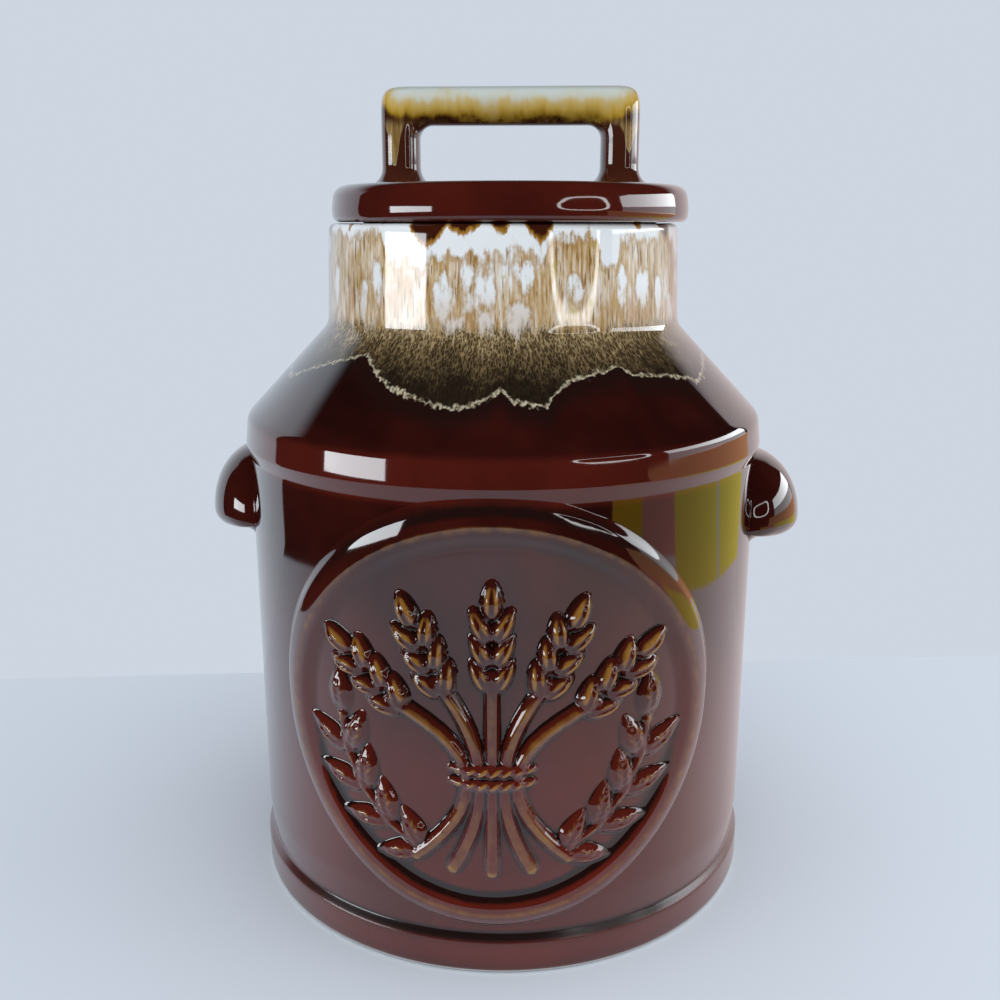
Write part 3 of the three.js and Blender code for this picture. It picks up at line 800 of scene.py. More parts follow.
def lug_grid(reach):
    """Points of a lug's outer surface on the right, by column across it and by row up its outline."""
    columns = []
    across = np.radians(np.linspace(-90, 90, LUG_COLUMNS + 1))
    outside = np.linspace(1, 0, LUG_MARGIN_COLUMNS + 1)[:-1]
    stations = [(-1 - LUG_MARGIN * share, 0.0) for share in outside]
    for angle in across:
        spread = math.copysign(abs(math.sin(angle)) ** (2 / LUG_SQUARENESS), angle)
        stations.append((spread, abs(math.cos(angle)) ** (2 / LUG_SQUARENESS)))
    stations += [(1 + LUG_MARGIN * share, 0.0) for share in outside[::-1]]
    for spread, share in stations:
        out, z = lug_profile(reach, share).T
        rise = np.clip((z - LUG_BOTTOM - LUG_EDGE) / (LUG_TOP - LUG_BOTTOM - LUG_EDGE), 0, 1)
        narrow = np.sqrt(1 - rise ** 2)
        width = LUG_TOP_HALF_WIDTH + (LUG_HALF_WIDTH - LUG_TOP_HALF_WIDTH) * narrow
        y = spread * width
        blended = soft_max(out, 0, LUG_BLEND) - LUG_BLEND / 4 * (1 - soft_step(out / LUG_BLEND))
        total = np.maximum(blended, 0) - LUG_SINK
        columns.append(np.stack((np.sqrt(BODY_RADIUS ** 2 - y ** 2) + total, y, z), axis=-1))
    return np.array(columns)


def build_lug(name, node, turn, lift, reach, glaze):
    grid = lug_grid(reach) + np.array((0, 0, lift))
    count, rows, _ = grid.shape
    back = grid[:, (0, -1), :] - np.array((LUG_BACK, 0, 0))
    points = np.concatenate((grid.reshape(-1, 3), back.reshape(-1, 3)))
    base = count * rows
    faces = []
    for i in range(count - 1):
        for j in range(rows - 1):
            a = i * rows + j
            faces.append((a, a + rows, a + rows + 1, a + 1))
        low = base + 2 * i
        faces.append((low, low + 1, low + 3, low + 2))
        faces.append((i * rows, low, low + 2, (i + 1) * rows))
        faces.append((low + 1, (i + 1) * rows - 1, (i + 2) * rows - 1, low + 3))
    faces.append(tuple(range(rows)) + (base + 1, base))
    end = (count - 1) * rows
    far = base + 2 * count
    faces.append(tuple(range(end + rows - 1, end - 1, -1)) + (far - 2, far - 1))
    spin = Matrix.Rotation(turn, 3, "Z")
    piece = linked(name, points @ np.array(spin).T, faces)
    finished(piece, glaze, "jar", "body_glaze", node)


# Round relief


def tilted(u, v, x, y, turn):
    """Distances along and across an axis through x, y that leans this far to the right of upright."""
    lean = math.radians(turn)
    along = (u - x) * math.sin(lean) + (v - y) * math.cos(lean)
    across = (u - x) * math.cos(lean) - (v - y) * math.sin(lean)
    return along, across


def dome(inside, raise_by, sharpness):
    """Height of a form whose outline is where inside is 0 and whose crest is where it is 1."""
    inside = np.maximum(inside, -1)
    return raise_by * np.sign(inside) * np.abs(inside) ** sharpness


def crease(t, across, depth, width, end):
    """Depth of a crease along the middle of a form, up to its end as a share of the half length."""
    return depth * np.exp(-(across / width) ** 2) * soft_step(end - np.abs(t))


def grain(u, v, x, y, turn):
    along, across = tilted(u, v, x, y, turn)
    t = along / (GRAIN_LENGTH / 2)
    half_width = GRAIN_WIDTH / 2 * (1 - GRAIN_TAPER * np.clip(t, -1, 1))
    inside = 1 - t ** 2 - (across / half_width) ** 2
    return dome(inside, GRAIN_RAISE, GRAIN_DOME) - crease(t, across, *GRAIN_CREASE)


def leaf(u, v, x, y, turn):
    along, across = tilted(u, v, x, y, turn)
    t = along / (LEAF_LENGTH / 2)
    half_width = LEAF_WIDTH / 2 * (1 - LEAF_TAPER * np.clip(t, -1, 1))
    inside = 1 - np.abs(t) ** LEAF_TIP - np.abs(across / half_width) ** LEAF_BELLY
    waves = np.sin((along - np.abs(across) * LEAF_VEIN_LEAN) * LEAF_VEIN_RATE)
    veins = LEAF_VEIN * waves * np.clip(inside, 0, 1)
    return dome(inside, LEAF_RAISE, LEAF_DOME) - crease(t, across, *LEAF_RIB) + veins


def strand(u, v, points, radius, raise_by):
    """A rounded stem along points."""
    nearest = np.full(u.shape, np.inf)
    for (ax, ay), (bx, by) in zip(points, points[1:]):
        length = math.hypot(bx - ax, by - ay)
        share = np.clip(((u - ax) * (bx - ax) + (v - ay) * (by - ay)) / length ** 2, 0, 1)
        off = np.hypot(u - ax - share * (bx - ax), v - ay - share * (by - ay))
        nearest = np.minimum(nearest, off / radius)
    return dome(1 - nearest ** 2, raise_by, STEM_DOME)


def curve(start, middle, end):
    """Points on a curve through three places."""
    t = np.linspace(0, 1, STEM_STEPS + 1)
    weights = np.stack(((1 - t) * (1 - 2 * t), 4 * t * (1 - t), t * (2 * t - 1)), axis=-1)
    return (weights @ np.array((start, middle, end))).tolist()


def sheaf_forms(u, v):
    """Stems with their ears, from the outermost pair in."""
    for index in sorted(range(STEM_COUNT), key=lambda stem: -abs(2 * stem - STEM_COUNT + 1)):
        share = index / (STEM_COUNT - 1) - 0.5
        lean = share * STEM_FAN
        foot_lean = math.radians(share * STEM_FOOT_FAN)
        waist = share * (STEM_COUNT - 1) * STEM_CROWDING

        def along(distance):
            turn = math.radians(lean)
            return waist + distance * math.sin(turn), TIE_HEIGHT + distance * math.cos(turn)

        foot = (waist + STEM_FOOT_LENGTH * math.sin(foot_lean),
                TIE_HEIGHT - STEM_FOOT_LENGTH * math.cos(foot_lean))
        yield strand(u, v, curve(foot, (waist, TIE_HEIGHT), along(STEM_LENGTH)), STEM_RADIUS, STEM_RAISE)
        for pair in range(EAR_PAIRS):
            x, y = along(STEM_LENGTH + pair * EAR_PITCH)
            for side in (-1, 1):
                dx = side * GRAIN_SPREAD * math.cos(math.radians(lean))
                dy = -side * GRAIN_SPREAD * math.sin(math.radians(lean))
                yield grain(u, v, x + dx, y + dy, lean + side * GRAIN_TILT)
        yield grain(u, v, *along(STEM_LENGTH + EAR_PAIRS * EAR_PITCH), lean)


def tie_forms(u, v):
    """Two twisted cords round the stems."""
    length = (STEM_COUNT - 1) * STEM_CROWDING + 2 * TIE_OVERHANG
    for row in (-TIE_SPACING / 2, TIE_SPACING / 2):
        along, across = tilted(u, v, 0, TIE_HEIGHT + row, 90)
        inside = 1 - (along / (length / 2)) ** 2 - (across / (TIE_WIDTH / 2)) ** 2
        waves = np.sin((along + across * TIE_TWIST_LEAN) * TIE_TWIST_RATE)
        twist = TIE_TWIST * waves * np.clip(inside, 0, 1)
        yield dome(inside, TIE_RAISE, TIE_DOME) + twist


def sprig_forms(u, v):
    """A stem with leaves on each side, along an arc."""
    for side in (-1, 1):
        stations = []
        for index in range(LEAF_COUNT + 1):
            angle = SPRIG_START - SPRIG_SWEEP * index / LEAF_COUNT
            turn = math.radians(angle)
            stations.append((-side * SPRIG_RADIUS * math.cos(turn), SPRIG_RADIUS * math.sin(turn), angle))
        yield strand(u, v, [(x, y) for x, y, _ in stations], SPRIG_STEM, SPRIG_STEM_RAISE)
        for index, (x, y, angle) in enumerate(stations):
            heading = side * (angle - 180)
            spreads = (0,) if index == LEAF_COUNT else (-LEAF_SPREAD, LEAF_SPREAD)
            for spread in spreads:
                turn = math.radians(heading + spread)
                reach = LEAF_LENGTH / 2
                yield leaf(u, v, x + reach * math.sin(turn), y + reach * math.cos(turn), heading + spread)


def relief_height(u, v):
    """How far the relief stands off the wall, at places across and up from its middle."""
    reach = np.hypot(u, v)
    height = RELIEF_FIELD * soft_step((RING_RADIUS - reach) / FIELD_RUNOUT)
    for form in (*sprig_forms(u, v), *sheaf_forms(u, v), *tie_forms(u, v)):
        height = soft_max(height, form, FORM_BLEND)
    height = height * soft_step((RING_RADIUS - reach) / FORM_RUNOUT)
    inner = np.clip((RING_RADIUS - reach) / RING_INNER, 0, 1)
    above = np.clip(v / np.maximum(reach, 1), 0, 1)
    width = RING_OUTER_BELOW + (RING_OUTER - RING_OUTER_BELOW) * above
    outer = np.clip((reach - RING_RADIUS) / width, 0, 1)
    flank = (1 - RING_LEAN * outer ** RING_BOW) * soft_step((1 - outer) / RING_EDGE)
    ring = (1 - inner ** 2) ** 2 * flank
    return height + RING_RAISE * ring - RELIEF_SINK * soft_step((outer - 1) / RING_EDGE + 1)


def ring_wear_and_painted_reflection(u, v):
    """How thin the glaze is on the ring's crest and how deep in the hollow inside it, with a painted dark
    reflection on top of it.
    """
    reach = np.hypot(u, v)
    up = v / np.maximum(reach, 1)

    def hump(amount, place, width):
        return amount * np.exp(-((reach - RING_RADIUS - place) / width) ** 2)

    low = 1 - RING_POOL_LOW * soft_step(up / RING_POOL_FADE + 1)
    # The last hump is a painted dark reflection, on the upper half of the outer flank only.
    return hump(*RING_WORN) - hump(*RING_POOL) * low - hump(*RING_PAINTED_DARK_REFLECTION) * np.clip(up, 0, 1)


def relief_place(u, v, height):
    turn = np.arcsin(u * RELIEF_ASPECT / BODY_RADIUS)
    z = v + RELIEF_HEIGHT
    groove = FOOT_BAND + GROOVE_RISE
    radius = np.interp(z, (groove, groove + GROOVE_RUNOUT), (GROOVE_RADIUS, BODY_RADIUS)) + height
    return np.stack((radius * np.sin(turn), -radius * np.cos(turn), z), axis=-1)


def build_relief(glaze):
    cells = RELIEF_CELLS
    side = np.linspace(-1, 1, cells + 1)
    a, b = np.meshgrid(side, side, indexing="ij")
    u = RELIEF_BORDER * a * np.sqrt(1 - b ** 2 / 2)
    v = RELIEF_BORDER * b * np.sqrt(1 - a ** 2 / 2)
    front = relief_place(u, v, relief_height(u, v)).reshape(-1, 3)
    index = np.arange((cells + 1) ** 2).reshape(cells + 1, cells + 1)
    quads = np.stack((index[:-1, :-1], index[1:, :-1], index[1:, 1:], index[:-1, 1:]), axis=-1)
    faces = [tuple(quad) for quad in quads.reshape(-1, 4).tolist()]
    border = np.concatenate((index[:-1, 0], index[-1, :-1], index[:0:-1, -1], index[0, :0:-1]))
    loop = border.tolist()
    edge_u = u.reshape(-1)[border]
    edge_v = v.reshape(-1)[border]
    points = [front]
    count = len(front)
    for share in np.linspace(1, 0, RELIEF_BACK_RINGS + 1)[:-1]:
        points.append(relief_place(edge_u * share, edge_v * share, RELIEF_BACK))
        ring = list(range(count, count + len(border)))
        for j in range(len(border)):
            k = (j + 1) % len(border)
            faces.append((loop[k], loop[j], ring[j], ring[k]))
        loop = ring
        count += len(border)
    points.append(relief_place(np.zeros(1), np.zeros(1), RELIEF_BACK))
    faces += [(loop[(j + 1) % len(border)], loop[j], count) for j in range(len(border))]
    piece = linked("glazed_medallion", np.concatenate(points), faces)
    proud = proud_of(piece)
    # The ring's glaze wear and its painted dark reflection are added to how proud the surface stands.
    proud[:len(front)] += ring_wear_and_painted_reflection(u, v).reshape(-1)
    store(piece, "proud", proud)
    finished(piece, glaze, "jar", "relief_glaze", "medallion")


# Glazes


class Shader:
    """A node material, built by short calls that each add a node or a few."""

    def __init__(self, name, owner=None):
        self.material = owner or bpy.data.materials.new(name)
        self.material.use_nodes = True
        self.tree = self.material.node_tree
        self.tree.nodes.clear()

    def plug(self, socket, value):
        if isinstance(value, bpy.types.NodeSocket):
            self.tree.links.new(value, socket)
        elif value is not None:
            socket.default_value = value

    def node(self, kind, inputs=(), **settings):
        node = self.tree.nodes.new("ShaderNode" + kind)
        for key, value in settings.items():
            setattr(node, key, value)
        for socket, value in dict(inputs).items():
            self.plug(node.inputs[socket], value)
        return node

    def math(self, operation, a, b=None, c=None):
        return self.node("Math", {0: a, 1: b, 2: c}, operation=operation).outputs[0]

    def times(self, a, b):
        return self.math("MULTIPLY", a, b)

    def plus(self, value, share, start):
        """The start, with a share of a value added."""
        return self.math("MULTIPLY_ADD", value, share, start)

    def vector(self, operation, a, b=None):
        return self.node("VectorMath", {0: a, 1: b}, operation=operation).outputs[0]

    def attribute(self, name):
        return self.node("Attribute", attribute_name=name).outputs["Fac"]

    def place(self):
        return self.node("TexCoord").outputs["Object"]

    def axes(self):
        return self.node("SeparateXYZ", {0: self.place()}).outputs

    def height(self):
        return self.axes()["Z"]

    def in_glaze(self):
        """1 where a surface is seen as a reflection."""
        return self.node("LightPath").outputs["Is Glossy Ray"]

    def stretched(self, x, y, z):
        return self.vector("MULTIPLY", self.place(), (x, y, z))

    def streamed(self, rise):
        """Places moved level to the neck's radius, so that a pattern runs down the shoulder in lines."""
        level = self.vector("NORMALIZE", self.stretched(1, 1, 0))
        flat = self.vector("MULTIPLY", level, (NECK_RADIUS * MM,) * 3)
        return self.vector("ADD", flat, self.stretched(0, 0, rise))

    def lace(self, vector, scale):
        """Distance from the lines of a net of cells."""
        inputs = {"Vector": vector, "Scale": scale}
        return self.node("TexVoronoi", inputs, feature="DISTANCE_TO_EDGE").outputs["Distance"]

    def noise(self, vector, scale, detail, roughness=NOISE_ROUGHNESS):
        inputs = {"Vector": vector, "Scale": scale, "Detail": detail, "Roughness": roughness}
        return self.node("TexNoise", inputs).outputs["Fac"]

    def streaks(self, rise, *noise):
        """Noise that is drawn out in height."""
        return self.noise(self.stretched(1, 1, rise), *noise)

    def even(self, noise):
        """Noise moved to lie on both sides of 0."""
        return self.math("SUBTRACT", noise, 0.5)

    def ramp(self, value, low, high):
        """0 at low and below, 1 at high and above, and smooth between."""
        inputs = {"Value": value, "From Min": low, "From Max": high}
        return self.node("MapRange", inputs, interpolation_type="SMOOTHSTEP").outputs[0]

    def zone(self, value, start, full, waning, end):
        """1 between full and waning, 0 before the start and after the end."""
        return self.times(self.ramp(value, start, full), self.ramp(value, end, waning))

    def colours(self, value, stops):
        """A colour for each value: stops are (position, colour)."""
        node = self.node("ValToRGB", {0: value})
        elements = node.color_ramp.elements
        while len(elements) < len(stops):
            elements.new(0.5)
        for element, (position, colour) in zip(elements, stops):
            element.position = position
            element.color = (*colour, 1)
        return node.outputs[0]

    def mix(self, share, a, b):
        node = self.node("Mix", data_type="RGBA")
        self.plug(node.inputs[0], share)
        self.plug(node.inputs[6], a if isinstance(a, bpy.types.NodeSocket) else (*a, 1))
        self.plug(node.inputs[7], b if isinstance(b, bpy.types.NodeSocket) else (*b, 1))
        return node.outputs[2]

    def blend(self, share, a, b):
        return self.node("MixShader", {0: share, 1: a, 2: b}).outputs[0]

    def glow(self, colour, strength=1.0):
        return self.node("Emission", {"Color": colour, "Strength": strength}).outputs[0]

    def shown(self, surface):
        self.node("OutputMaterial", {"Surface": surface})
        return self.material

    def glazed(self, colour, roughness=GLAZE_ROUGHNESS):
        """The glossy glaze over a colour, with a slight waviness and more gloss seen edge on."""
        wave = self.noise(self.place(), *GLAZE_WAVE)
        bump = self.node("Bump", {"Strength": WAVE_STRENGTH, "Distance": WAVE_DEPTH, "Height": wave})
        shine = {"Roughness": roughness, "Normal": bump.outputs[0]}
        surface = self.node("BsdfPrincipled", {"Base Color": colour, "IOR": GLAZE_IOR, **shine})
        gloss = self.node("BsdfGlossy", shine)
        facing = self.node("LayerWeight", {"Normal": bump.outputs[0]}).outputs["Facing"]
        share = self.times(self.math("POWER", facing, EDGE_SHARPNESS), EDGE_GLOSS)
        return self.shown(self.blend(share, surface.outputs[0], gloss.outputs[0]))


def brown_colour(shader, shade):
    """Brown glaze: redder down the jar and on the bead, dark where it pools, amber over sharp edges."""
    height = shader.height()
    cloud = shader.ramp(shader.noise(shader.place(), *BROWN_CLOUD), *CLOUD_RANGE)
    share = shader.plus(cloud, CLOUD_SHARE, shade)
    share = shader.plus(shader.ramp(height, *REDDER_DOWN), REDDER_SHARE, share)
    for limits, amount in RED_ZONES:
        share = shader.plus(shader.zone(height, *limits), amount, share)
    base = shader.mix(share, DEEP_BROWN, RED_BROWN)
    # Painted dark reflection in the foot groove, at the front and back of the jar only.
    aside = shader.math("ABSOLUTE", shader.axes()["X"])
    groove = shader.times(shader.zone(height, *GROOVE_PAINTED_DARK_ZONE), shader.ramp(aside, *GROOVE_PAINTED_DARK_ENDS))
    base = shader.mix(groove, base, BLACK_BROWN)
    grain = shader.even(shader.noise(shader.place(), *BROWN_GRAIN))
    proud = shader.plus(grain, BROWN_GRAIN_SHARE, shader.attribute("proud"))
    pooled = shader.mix(shader.ramp(proud, *POOLED), base, BLACK_BROWN)
    return shader.mix(shader.ramp(proud, *WORN), pooled, AMBER)


def brown_glaze(name, shade):
    shader = Shader(name)
    return shader.glazed(brown_colour(shader, shade))


def neck_colour(shader):
    """Tan streaks with dark fibres, and white glaze in lobes under the rim and in drops below."""
    broad = shader.times(shader.streaks(*NECK_BROAD), NECK_BROAD_SHARE)
    streak = shader.plus(shader.streaks(*NECK_FIBRE), NECK_FIBRE_SHARE, broad)
    tan = shader.colours(streak, NECK_TANS)
    for noise, limits, share, colour in NECK_MARKS:
        mark = shader.ramp(shader.streaks(*noise), *limits)
        tan = shader.mix(shader.times(mark, share), tan, colour)
    white = shader.math("ADD", shader.attribute("white"), WHITE_SPREAD)
    for noise, share in WHITE_SWAYS:
        white = shader.plus(shader.even(shader.streaks(*noise)), share, white)
    pale = shader.mix(shader.ramp(shader.height(), *PINK_BELOW), PINK_WHITE, CREAM)
    fringe = shader.times(shader.ramp(white, *WHITE_FRINGE), WHITE_FRINGE_SHARE)
    return shader.mix(shader.ramp(white, *WHITE_LIMIT), shader.mix(fringe, tan, BROWN_TAN), pale)


def drip_colour(shader, flow, brown):
    """Cream glaze that runs down the neck and stops on the shoulder in a dark speckled band."""
    rise = shader.plus(shader.even(shader.streaks(*BAND_FIBRE)), BAND_SWAY, shader.height())
    speck = shader.noise(shader.streamed(SPECK_RISE), *SPECK)
    patch = shader.even(shader.noise(shader.streamed(PATCH_RISE), *PATCH))
    thin = shader.plus(patch, PATCH_SHARE, shader.ramp(rise, *BAND_THINNING))
    net = shader.plus(speck, SPECK_SHARE, shader.lace(shader.streamed(NET_RISE), NET_SCALE))
    ground = shader.colours(thin, BAND_GROUND)
    band = shader.mix(shader.ramp(net, *NET_LIMIT), ground, shader.colours(thin, BAND_THREADS))
    upper = shader.mix(shader.ramp(rise, *BAND_TOP), band, neck_colour(shader))
    ragged = shader.even(shader.noise(shader.place(), *FLOW_RAGGED))
    edge = shader.plus(ragged, FLOW_RAGGED_SHARE, flow)
    lace = shader.mix(shader.ramp(edge, *FLOW_LACE), shader.colours(speck, GRIT), upper)
    dark = shader.mix(shader.ramp(flow, *FLOW_SHADE), brown, BLACK_BROWN)
    return shader.mix(shader.ramp(edge, *FLOW_LIMIT), dark, lace)


def jar_glaze():
    """Brown below and cream drip above, with dark runs at the rim and bare clay under the foot."""
    shader = Shader("brown_and_drip_glaze")
    flow = shader.attribute("flow")
    colour = drip_colour(shader, flow, brown_colour(shader, 0.0))
    ragged = shader.even(shader.streaks(*RUN_RAGGED))
    runs = shader.plus(ragged, RUN_RAGGED_SHARE, shader.attribute("below_run"))
    fringe = shader.mix(shader.ramp(runs, *RUN_FRINGE), FRINGE_BROWN, colour)
    rim = shader.mix(shader.ramp(runs, *RUN_LIMIT), RUN_BROWN, fringe)
    colour = shader.mix(shader.ramp(flow, *RUN_ZONE), colour, rim)
    bare = shader.ramp(shader.height(), *BARE_FOOT)
    dull = shader.plus(shader.ramp(shader.height(), *DULL_FOOT), DULL_ROUGHNESS, GLAZE_ROUGHNESS)
    colour = shader.mix(bare, colour, BARE_CLAY)
    return shader.glazed(colour, shader.plus(bare, BARE_ROUGHNESS, dull))


def handle_glaze():
    """Brown legs under a drip that is ochre, then tan, then cream to the top of the bar."""
    shader = Shader("handle_drip_glaze")
    height = shader.height()
    weave = shader.streaks(*HANDLE_FIBRE)
    fibre = shader.even(weave)
    broad = shader.even(shader.streaks(*HANDLE_BROAD))
    sway = shader.plus(broad, HANDLE_BROAD_SHARE, shader.times(fibre, HANDLE_FIBRE_SHARE))
    level = shader.math("DIVIDE", shader.math("SUBTRACT", height, BAR_BOTTOM * MM), HANDLE_BAR * MM)
    level = shader.plus(sway, BAR_SWAY, level)
    across = shader.math("SUBTRACT", shader.axes()["X"], LID_SHIFT * MM)
    ends = shader.ramp(shader.math("ABSOLUTE", across), *BAR_ENDS)
    bar = shader.colours(shader.plus(ends, BAR_ENDS_DROP, level), BAR_COLOURS)
    run = shader.plus(fibre, LEG_RUN_SWAY, shader.attribute("run"))
    drip = shader.mix(shader.ramp(height, *BAR_START), shader.colours(weave, STREAM_COLOURS), bar)
    edged = shader.mix(shader.ramp(run, *STREAM_RIM), STREAM_TAN, drip)
    leg = shader.mix(shader.ramp(run, *STREAM_LIMIT), LEG_BROWN, edged)
    corner = shader.mix(shader.ramp(run, *CORNER_LIMIT), LEG_BROWN, drip)
    return shader.glazed(shader.mix(shader.ramp(height, *LEG_TOP), leg, corner), HANDLE_ROUGHNESS)


# Stage


def build_camera():
    data = bpy.data.cameras.new("camera")
    data.sensor_width = CAMERA_SENSOR
    data.lens = CAMERA_LENS
    camera = bpy.data.objects.new("camera", data)
    turn = math.radians(CAMERA_AZIMUTH)
    eye = Vector((CAMERA_DISTANCE * math.sin(turn), -CAMERA_DISTANCE * math.cos(turn), CAMERA_HEIGHT))
    heading = Matrix.Rotation(math.radians(CAMERA_AZIMUTH + CAMERA_YAW), 4, "Z")
    tilt = Matrix.Rotation(math.radians(90 - CAMERA_PITCH), 4, "X")
    camera.matrix_world = Matrix.Translation(eye) @ heading @ tilt
    bpy.context.scene.collection.objects.link(camera)
    bpy.context.scene.camera = camera


def build_world():
    """A pale room, which is dark where the glaze reflects it."""
    world = bpy.data.worlds.new("room")
    bpy.context.scene.world = world
    shader = Shader("room", world)
    colour = shader.mix(shader.in_glaze(), WALL_COLOUR, ROOM_COLOUR)
    background = shader.node("Background", {"Color": colour})
    shader.node("OutputWorld", {"Surface": background.outputs[0]})


def staged(name, corners, material):
    """A sheet of the stage through four corners."""
    sheet = linked(name, corners, [(0, 1, 2, 3)])
    sheet.data.materials.append(material)
    return sheet


def beside_table(shader, x, y):
    """The colours that the glaze shows beside the table, and the table's half width at each."""
    slope = shader.math("DIVIDE", y, x)
    right = shader.math("GREATER_THAN", x, 0.0)

    def past(start):
        return shader.times(shader.math("GREATER_THAN", slope, start), right)

    colour = ROOM_COLOUR
    half_width = before = BOARD_HALF_WIDTH
    for start, thing, width in BESIDE:
        here = past(start)
        colour = shader.mix(here, colour, thing)
        half_width = shader.plus(here, width - before, half_width)
        before = width
    distance = shader.node("VectorMath", {0: shader.place()}, operation="LENGTH").outputs["Value"]
    behind = shader.mix(past(ORANGE_START), ROOM_COLOUR, ORANGE)
    return shader.mix(shader.ramp(distance, *BESIDE_DEPTH), colour, behind), half_width


def build_table():
    """A pale table, which is an oval board of limited size in the glaze, with a painted rosy light on its
    right there.
    """
    shader = Shader("table_white")
    x, y, _ = shader.axes()
    in_glaze = shader.in_glaze()
    # Painted warm light: the table is rosy on its right only as the glaze shows it.
    colour = shader.mix(shader.times(shader.ramp(x, *TABLE_WARM_LIGHT_LIMITS), in_glaze), TABLE_COLOUR, TABLE_PAINTED_WARM_LIGHT)
    inputs = {"Base Color": colour, "Roughness": TABLE_ROUGHNESS, "Specular IOR Level": 0.0}
    surface = shader.node("BsdfPrincipled", inputs).outputs[0]
    beside, half_width = beside_table(shader, x, y)
    across = shader.math("POWER", shader.math("DIVIDE", x, half_width), 2)
    along = shader.math("POWER", shader.math("DIVIDE", y, BOARD_HALF_DEPTH), 2)
    off_board = shader.times(shader.ramp(shader.math("ADD", across, along), *BOARD_EDGE), in_glaze)
    material = shader.shown(shader.blend(off_board, surface, shader.glow(beside)))
    side = TABLE_SIDE
    staged("table", [(-side, -side, 0), (side, -side, 0), (side, side, 0), (-side, side, 0)], material)


def wall_corners(left, right, top_left, top_right):
    """Corners of an upright sheet along the far edge of the table."""
    corners = ((left, 0), (right, 0), (right, top_right), (left, top_left))
    return [(x, TABLE_LINE + TABLE_LINE_SLOPE * x, z) for x, z in corners]


def build_backdrop():
    """The pale wall at the far edge of the table, which shows to the camera from its front only."""
    shader = Shader("backdrop_white")
    clear = shader.node("BsdfTransparent").outputs[0]
    back = shader.node("NewGeometry").outputs["Backfacing"]
    material = shader.shown(shader.blend(back, shader.glow((*WALL_COLOUR, 1)), clear))
    corners = wall_corners(-TABLE_SIDE, TABLE_SIDE, BACKDROP_HEIGHT, BACKDROP_HEIGHT)
    sheet = staged("backdrop", corners, material)
    sheet.visible_glossy = False
    sheet.visible_diffuse = False
    sheet.visible_shadow = False


def only_in_glaze(piece):
    piece.visible_camera = False
    piece.visible_diffuse = False
    piece.visible_shadow = False


def build_wall():
    """The pale wall as the glaze reflects it: it fades out at its sloping top, and has a painted rosy light
    on its right.
    """
    shader = Shader("wall_white")
    x, _, z = shader.axes()
    lean = (WALL_TOP_RIGHT - WALL_TOP_LEFT) / (WALL_RIGHT - WALL_LEFT)
    top = (WALL_TOP_LEFT - lean * WALL_LEFT) * MM
    fade = shader.ramp(shader.plus(x, -lean, z), top, top - WALL_FADE)
    # Painted warm light: the wall is rosy on its right.
    colour = shader.mix(shader.ramp(x, *WALL_WARM_LIGHT_LIMITS), WALL_COLOUR, WALL_PAINTED_WARM_LIGHT)
    corners = wall_corners(WALL_LEFT, WALL_RIGHT, WALL_TOP_LEFT, WALL_TOP_RIGHT)
    only_in_glaze(staged("wall", corners, shader.shown(shader.glow(colour, fade))))


def toward(azimuth, elevation):
    """A direction from the jar, for an angle round it and an angle up, in degrees."""
    turn = math.radians(azimuth)
    lift = math.radians(elevation)
    return Vector((math.sin(turn) * math.cos(lift), -math.cos(turn) * math.cos(lift), math.sin(lift)))


def build_lamp(name, azimuth, elevation, distance, width, height, radiance, glossy=False):
    """An area lamp that faces the jar from an angle round it, with a brightness as it is seen."""
    data = bpy.data.lights.new(name, "AREA")
    data.shape = "RECTANGLE"
    data.size = width
    data.size_y = height
    data.energy = radiance * math.pi * width * height
    data.color = LAMP_COLOUR
    lamp = bpy.data.objects.new(name, data)
    aim = toward(azimuth, elevation)
    lamp.location = LIGHT_MIDDLE + distance * aim
    lamp.rotation_euler = aim.to_track_quat("Z", "Y").to_euler()
    lamp.visible_camera = False
    lamp.visible_glossy = glossy
    bpy.context.scene.collection.objects.link(lamp)


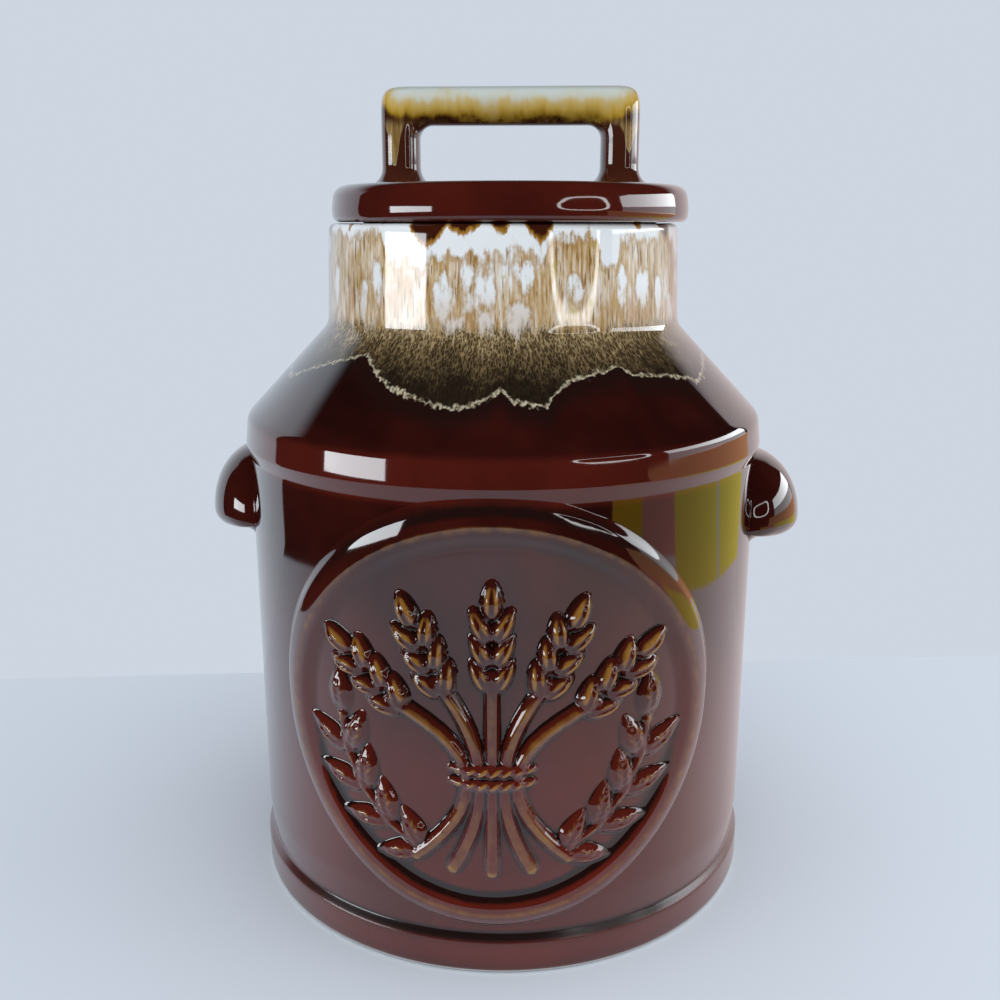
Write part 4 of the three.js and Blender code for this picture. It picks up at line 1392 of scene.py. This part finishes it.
def build_window(name, left, right, low, high, radiance):
    """A window between two angles round the jar and two angles above the horizon."""
    width = 2 * WINDOW_DISTANCE * math.tan(math.radians(right - left) / 2)
    height = WINDOW_DISTANCE * (math.tan(math.radians(high)) - math.tan(math.radians(low)))
    middle = ((left + right) / 2, (low + high) / 2)
    build_lamp(name, *middle, WINDOW_DISTANCE, width, height, radiance, glossy=True)


def build_ring_lamp():
    """A ring lamp in front of the jar, to the right, which shows only in the glaze."""
    aim = toward(*RING_LAMP_ANGLES)
    middle = LIGHT_MIDDLE + RING_LAMP_DISTANCE * aim
    side = aim.cross(Vector((0, 0, 1))).normalized()
    up = side.cross(aim)
    points = []
    faces = []
    for step in range(RING_LAMP_STEPS):
        turn = 2 * math.pi * step / RING_LAMP_STEPS
        across, rise = (math.copysign(abs(part) ** (2 / RING_LAMP_SQUARENESS), part)
                        for part in (math.cos(turn), math.sin(turn)))
        arm = side * RING_LAMP_HALF_WIDTH * across + up * RING_LAMP_HALF_HEIGHT * rise
        points += [tuple((middle + arm * share) / MM) for share in (1 - RING_LAMP_BAND, 1)]
        after = (step + 1) % RING_LAMP_STEPS
        faces.append((2 * step, 2 * step + 1, 2 * after + 1, 2 * after))
    ring = linked("ring_lamp", points, faces)
    shader = Shader("ring_lamp_glow")
    ring.data.materials.append(shader.shown(shader.glow((1, 1, 1, 1), RING_LAMP_GLOW)))
    only_in_glaze(ring)


def build_lights():
    for window in WINDOWS:
        build_window(*window)
    build_ring_lamp()
    for lamp in SOFT_LAMPS:
        build_lamp(*lamp)


def main():
    bpy.context.scene.view_settings.view_transform = "Standard"
    build_camera()
    build_world()
    build_table()
    build_backdrop()
    build_wall()
    build_lights()
    body = brown_glaze("brown_glaze", LUG_SHADE)
    build_jar(jar_glaze())
    build_relief(brown_glaze("relief_glaze", RELIEF_SHADE))
    build_lug("glazed_right_lug", "right_lug", 0, -LUG_OFFSET, RIGHT_LUG_REACH, body)
    build_lug("glazed_left_lug", "left_lug", math.pi, LUG_OFFSET, LUG_REACH, body)
    build_lid(brown_glaze("lid_glaze", LID_SHADE))
    build_handle(handle_glaze())


main()
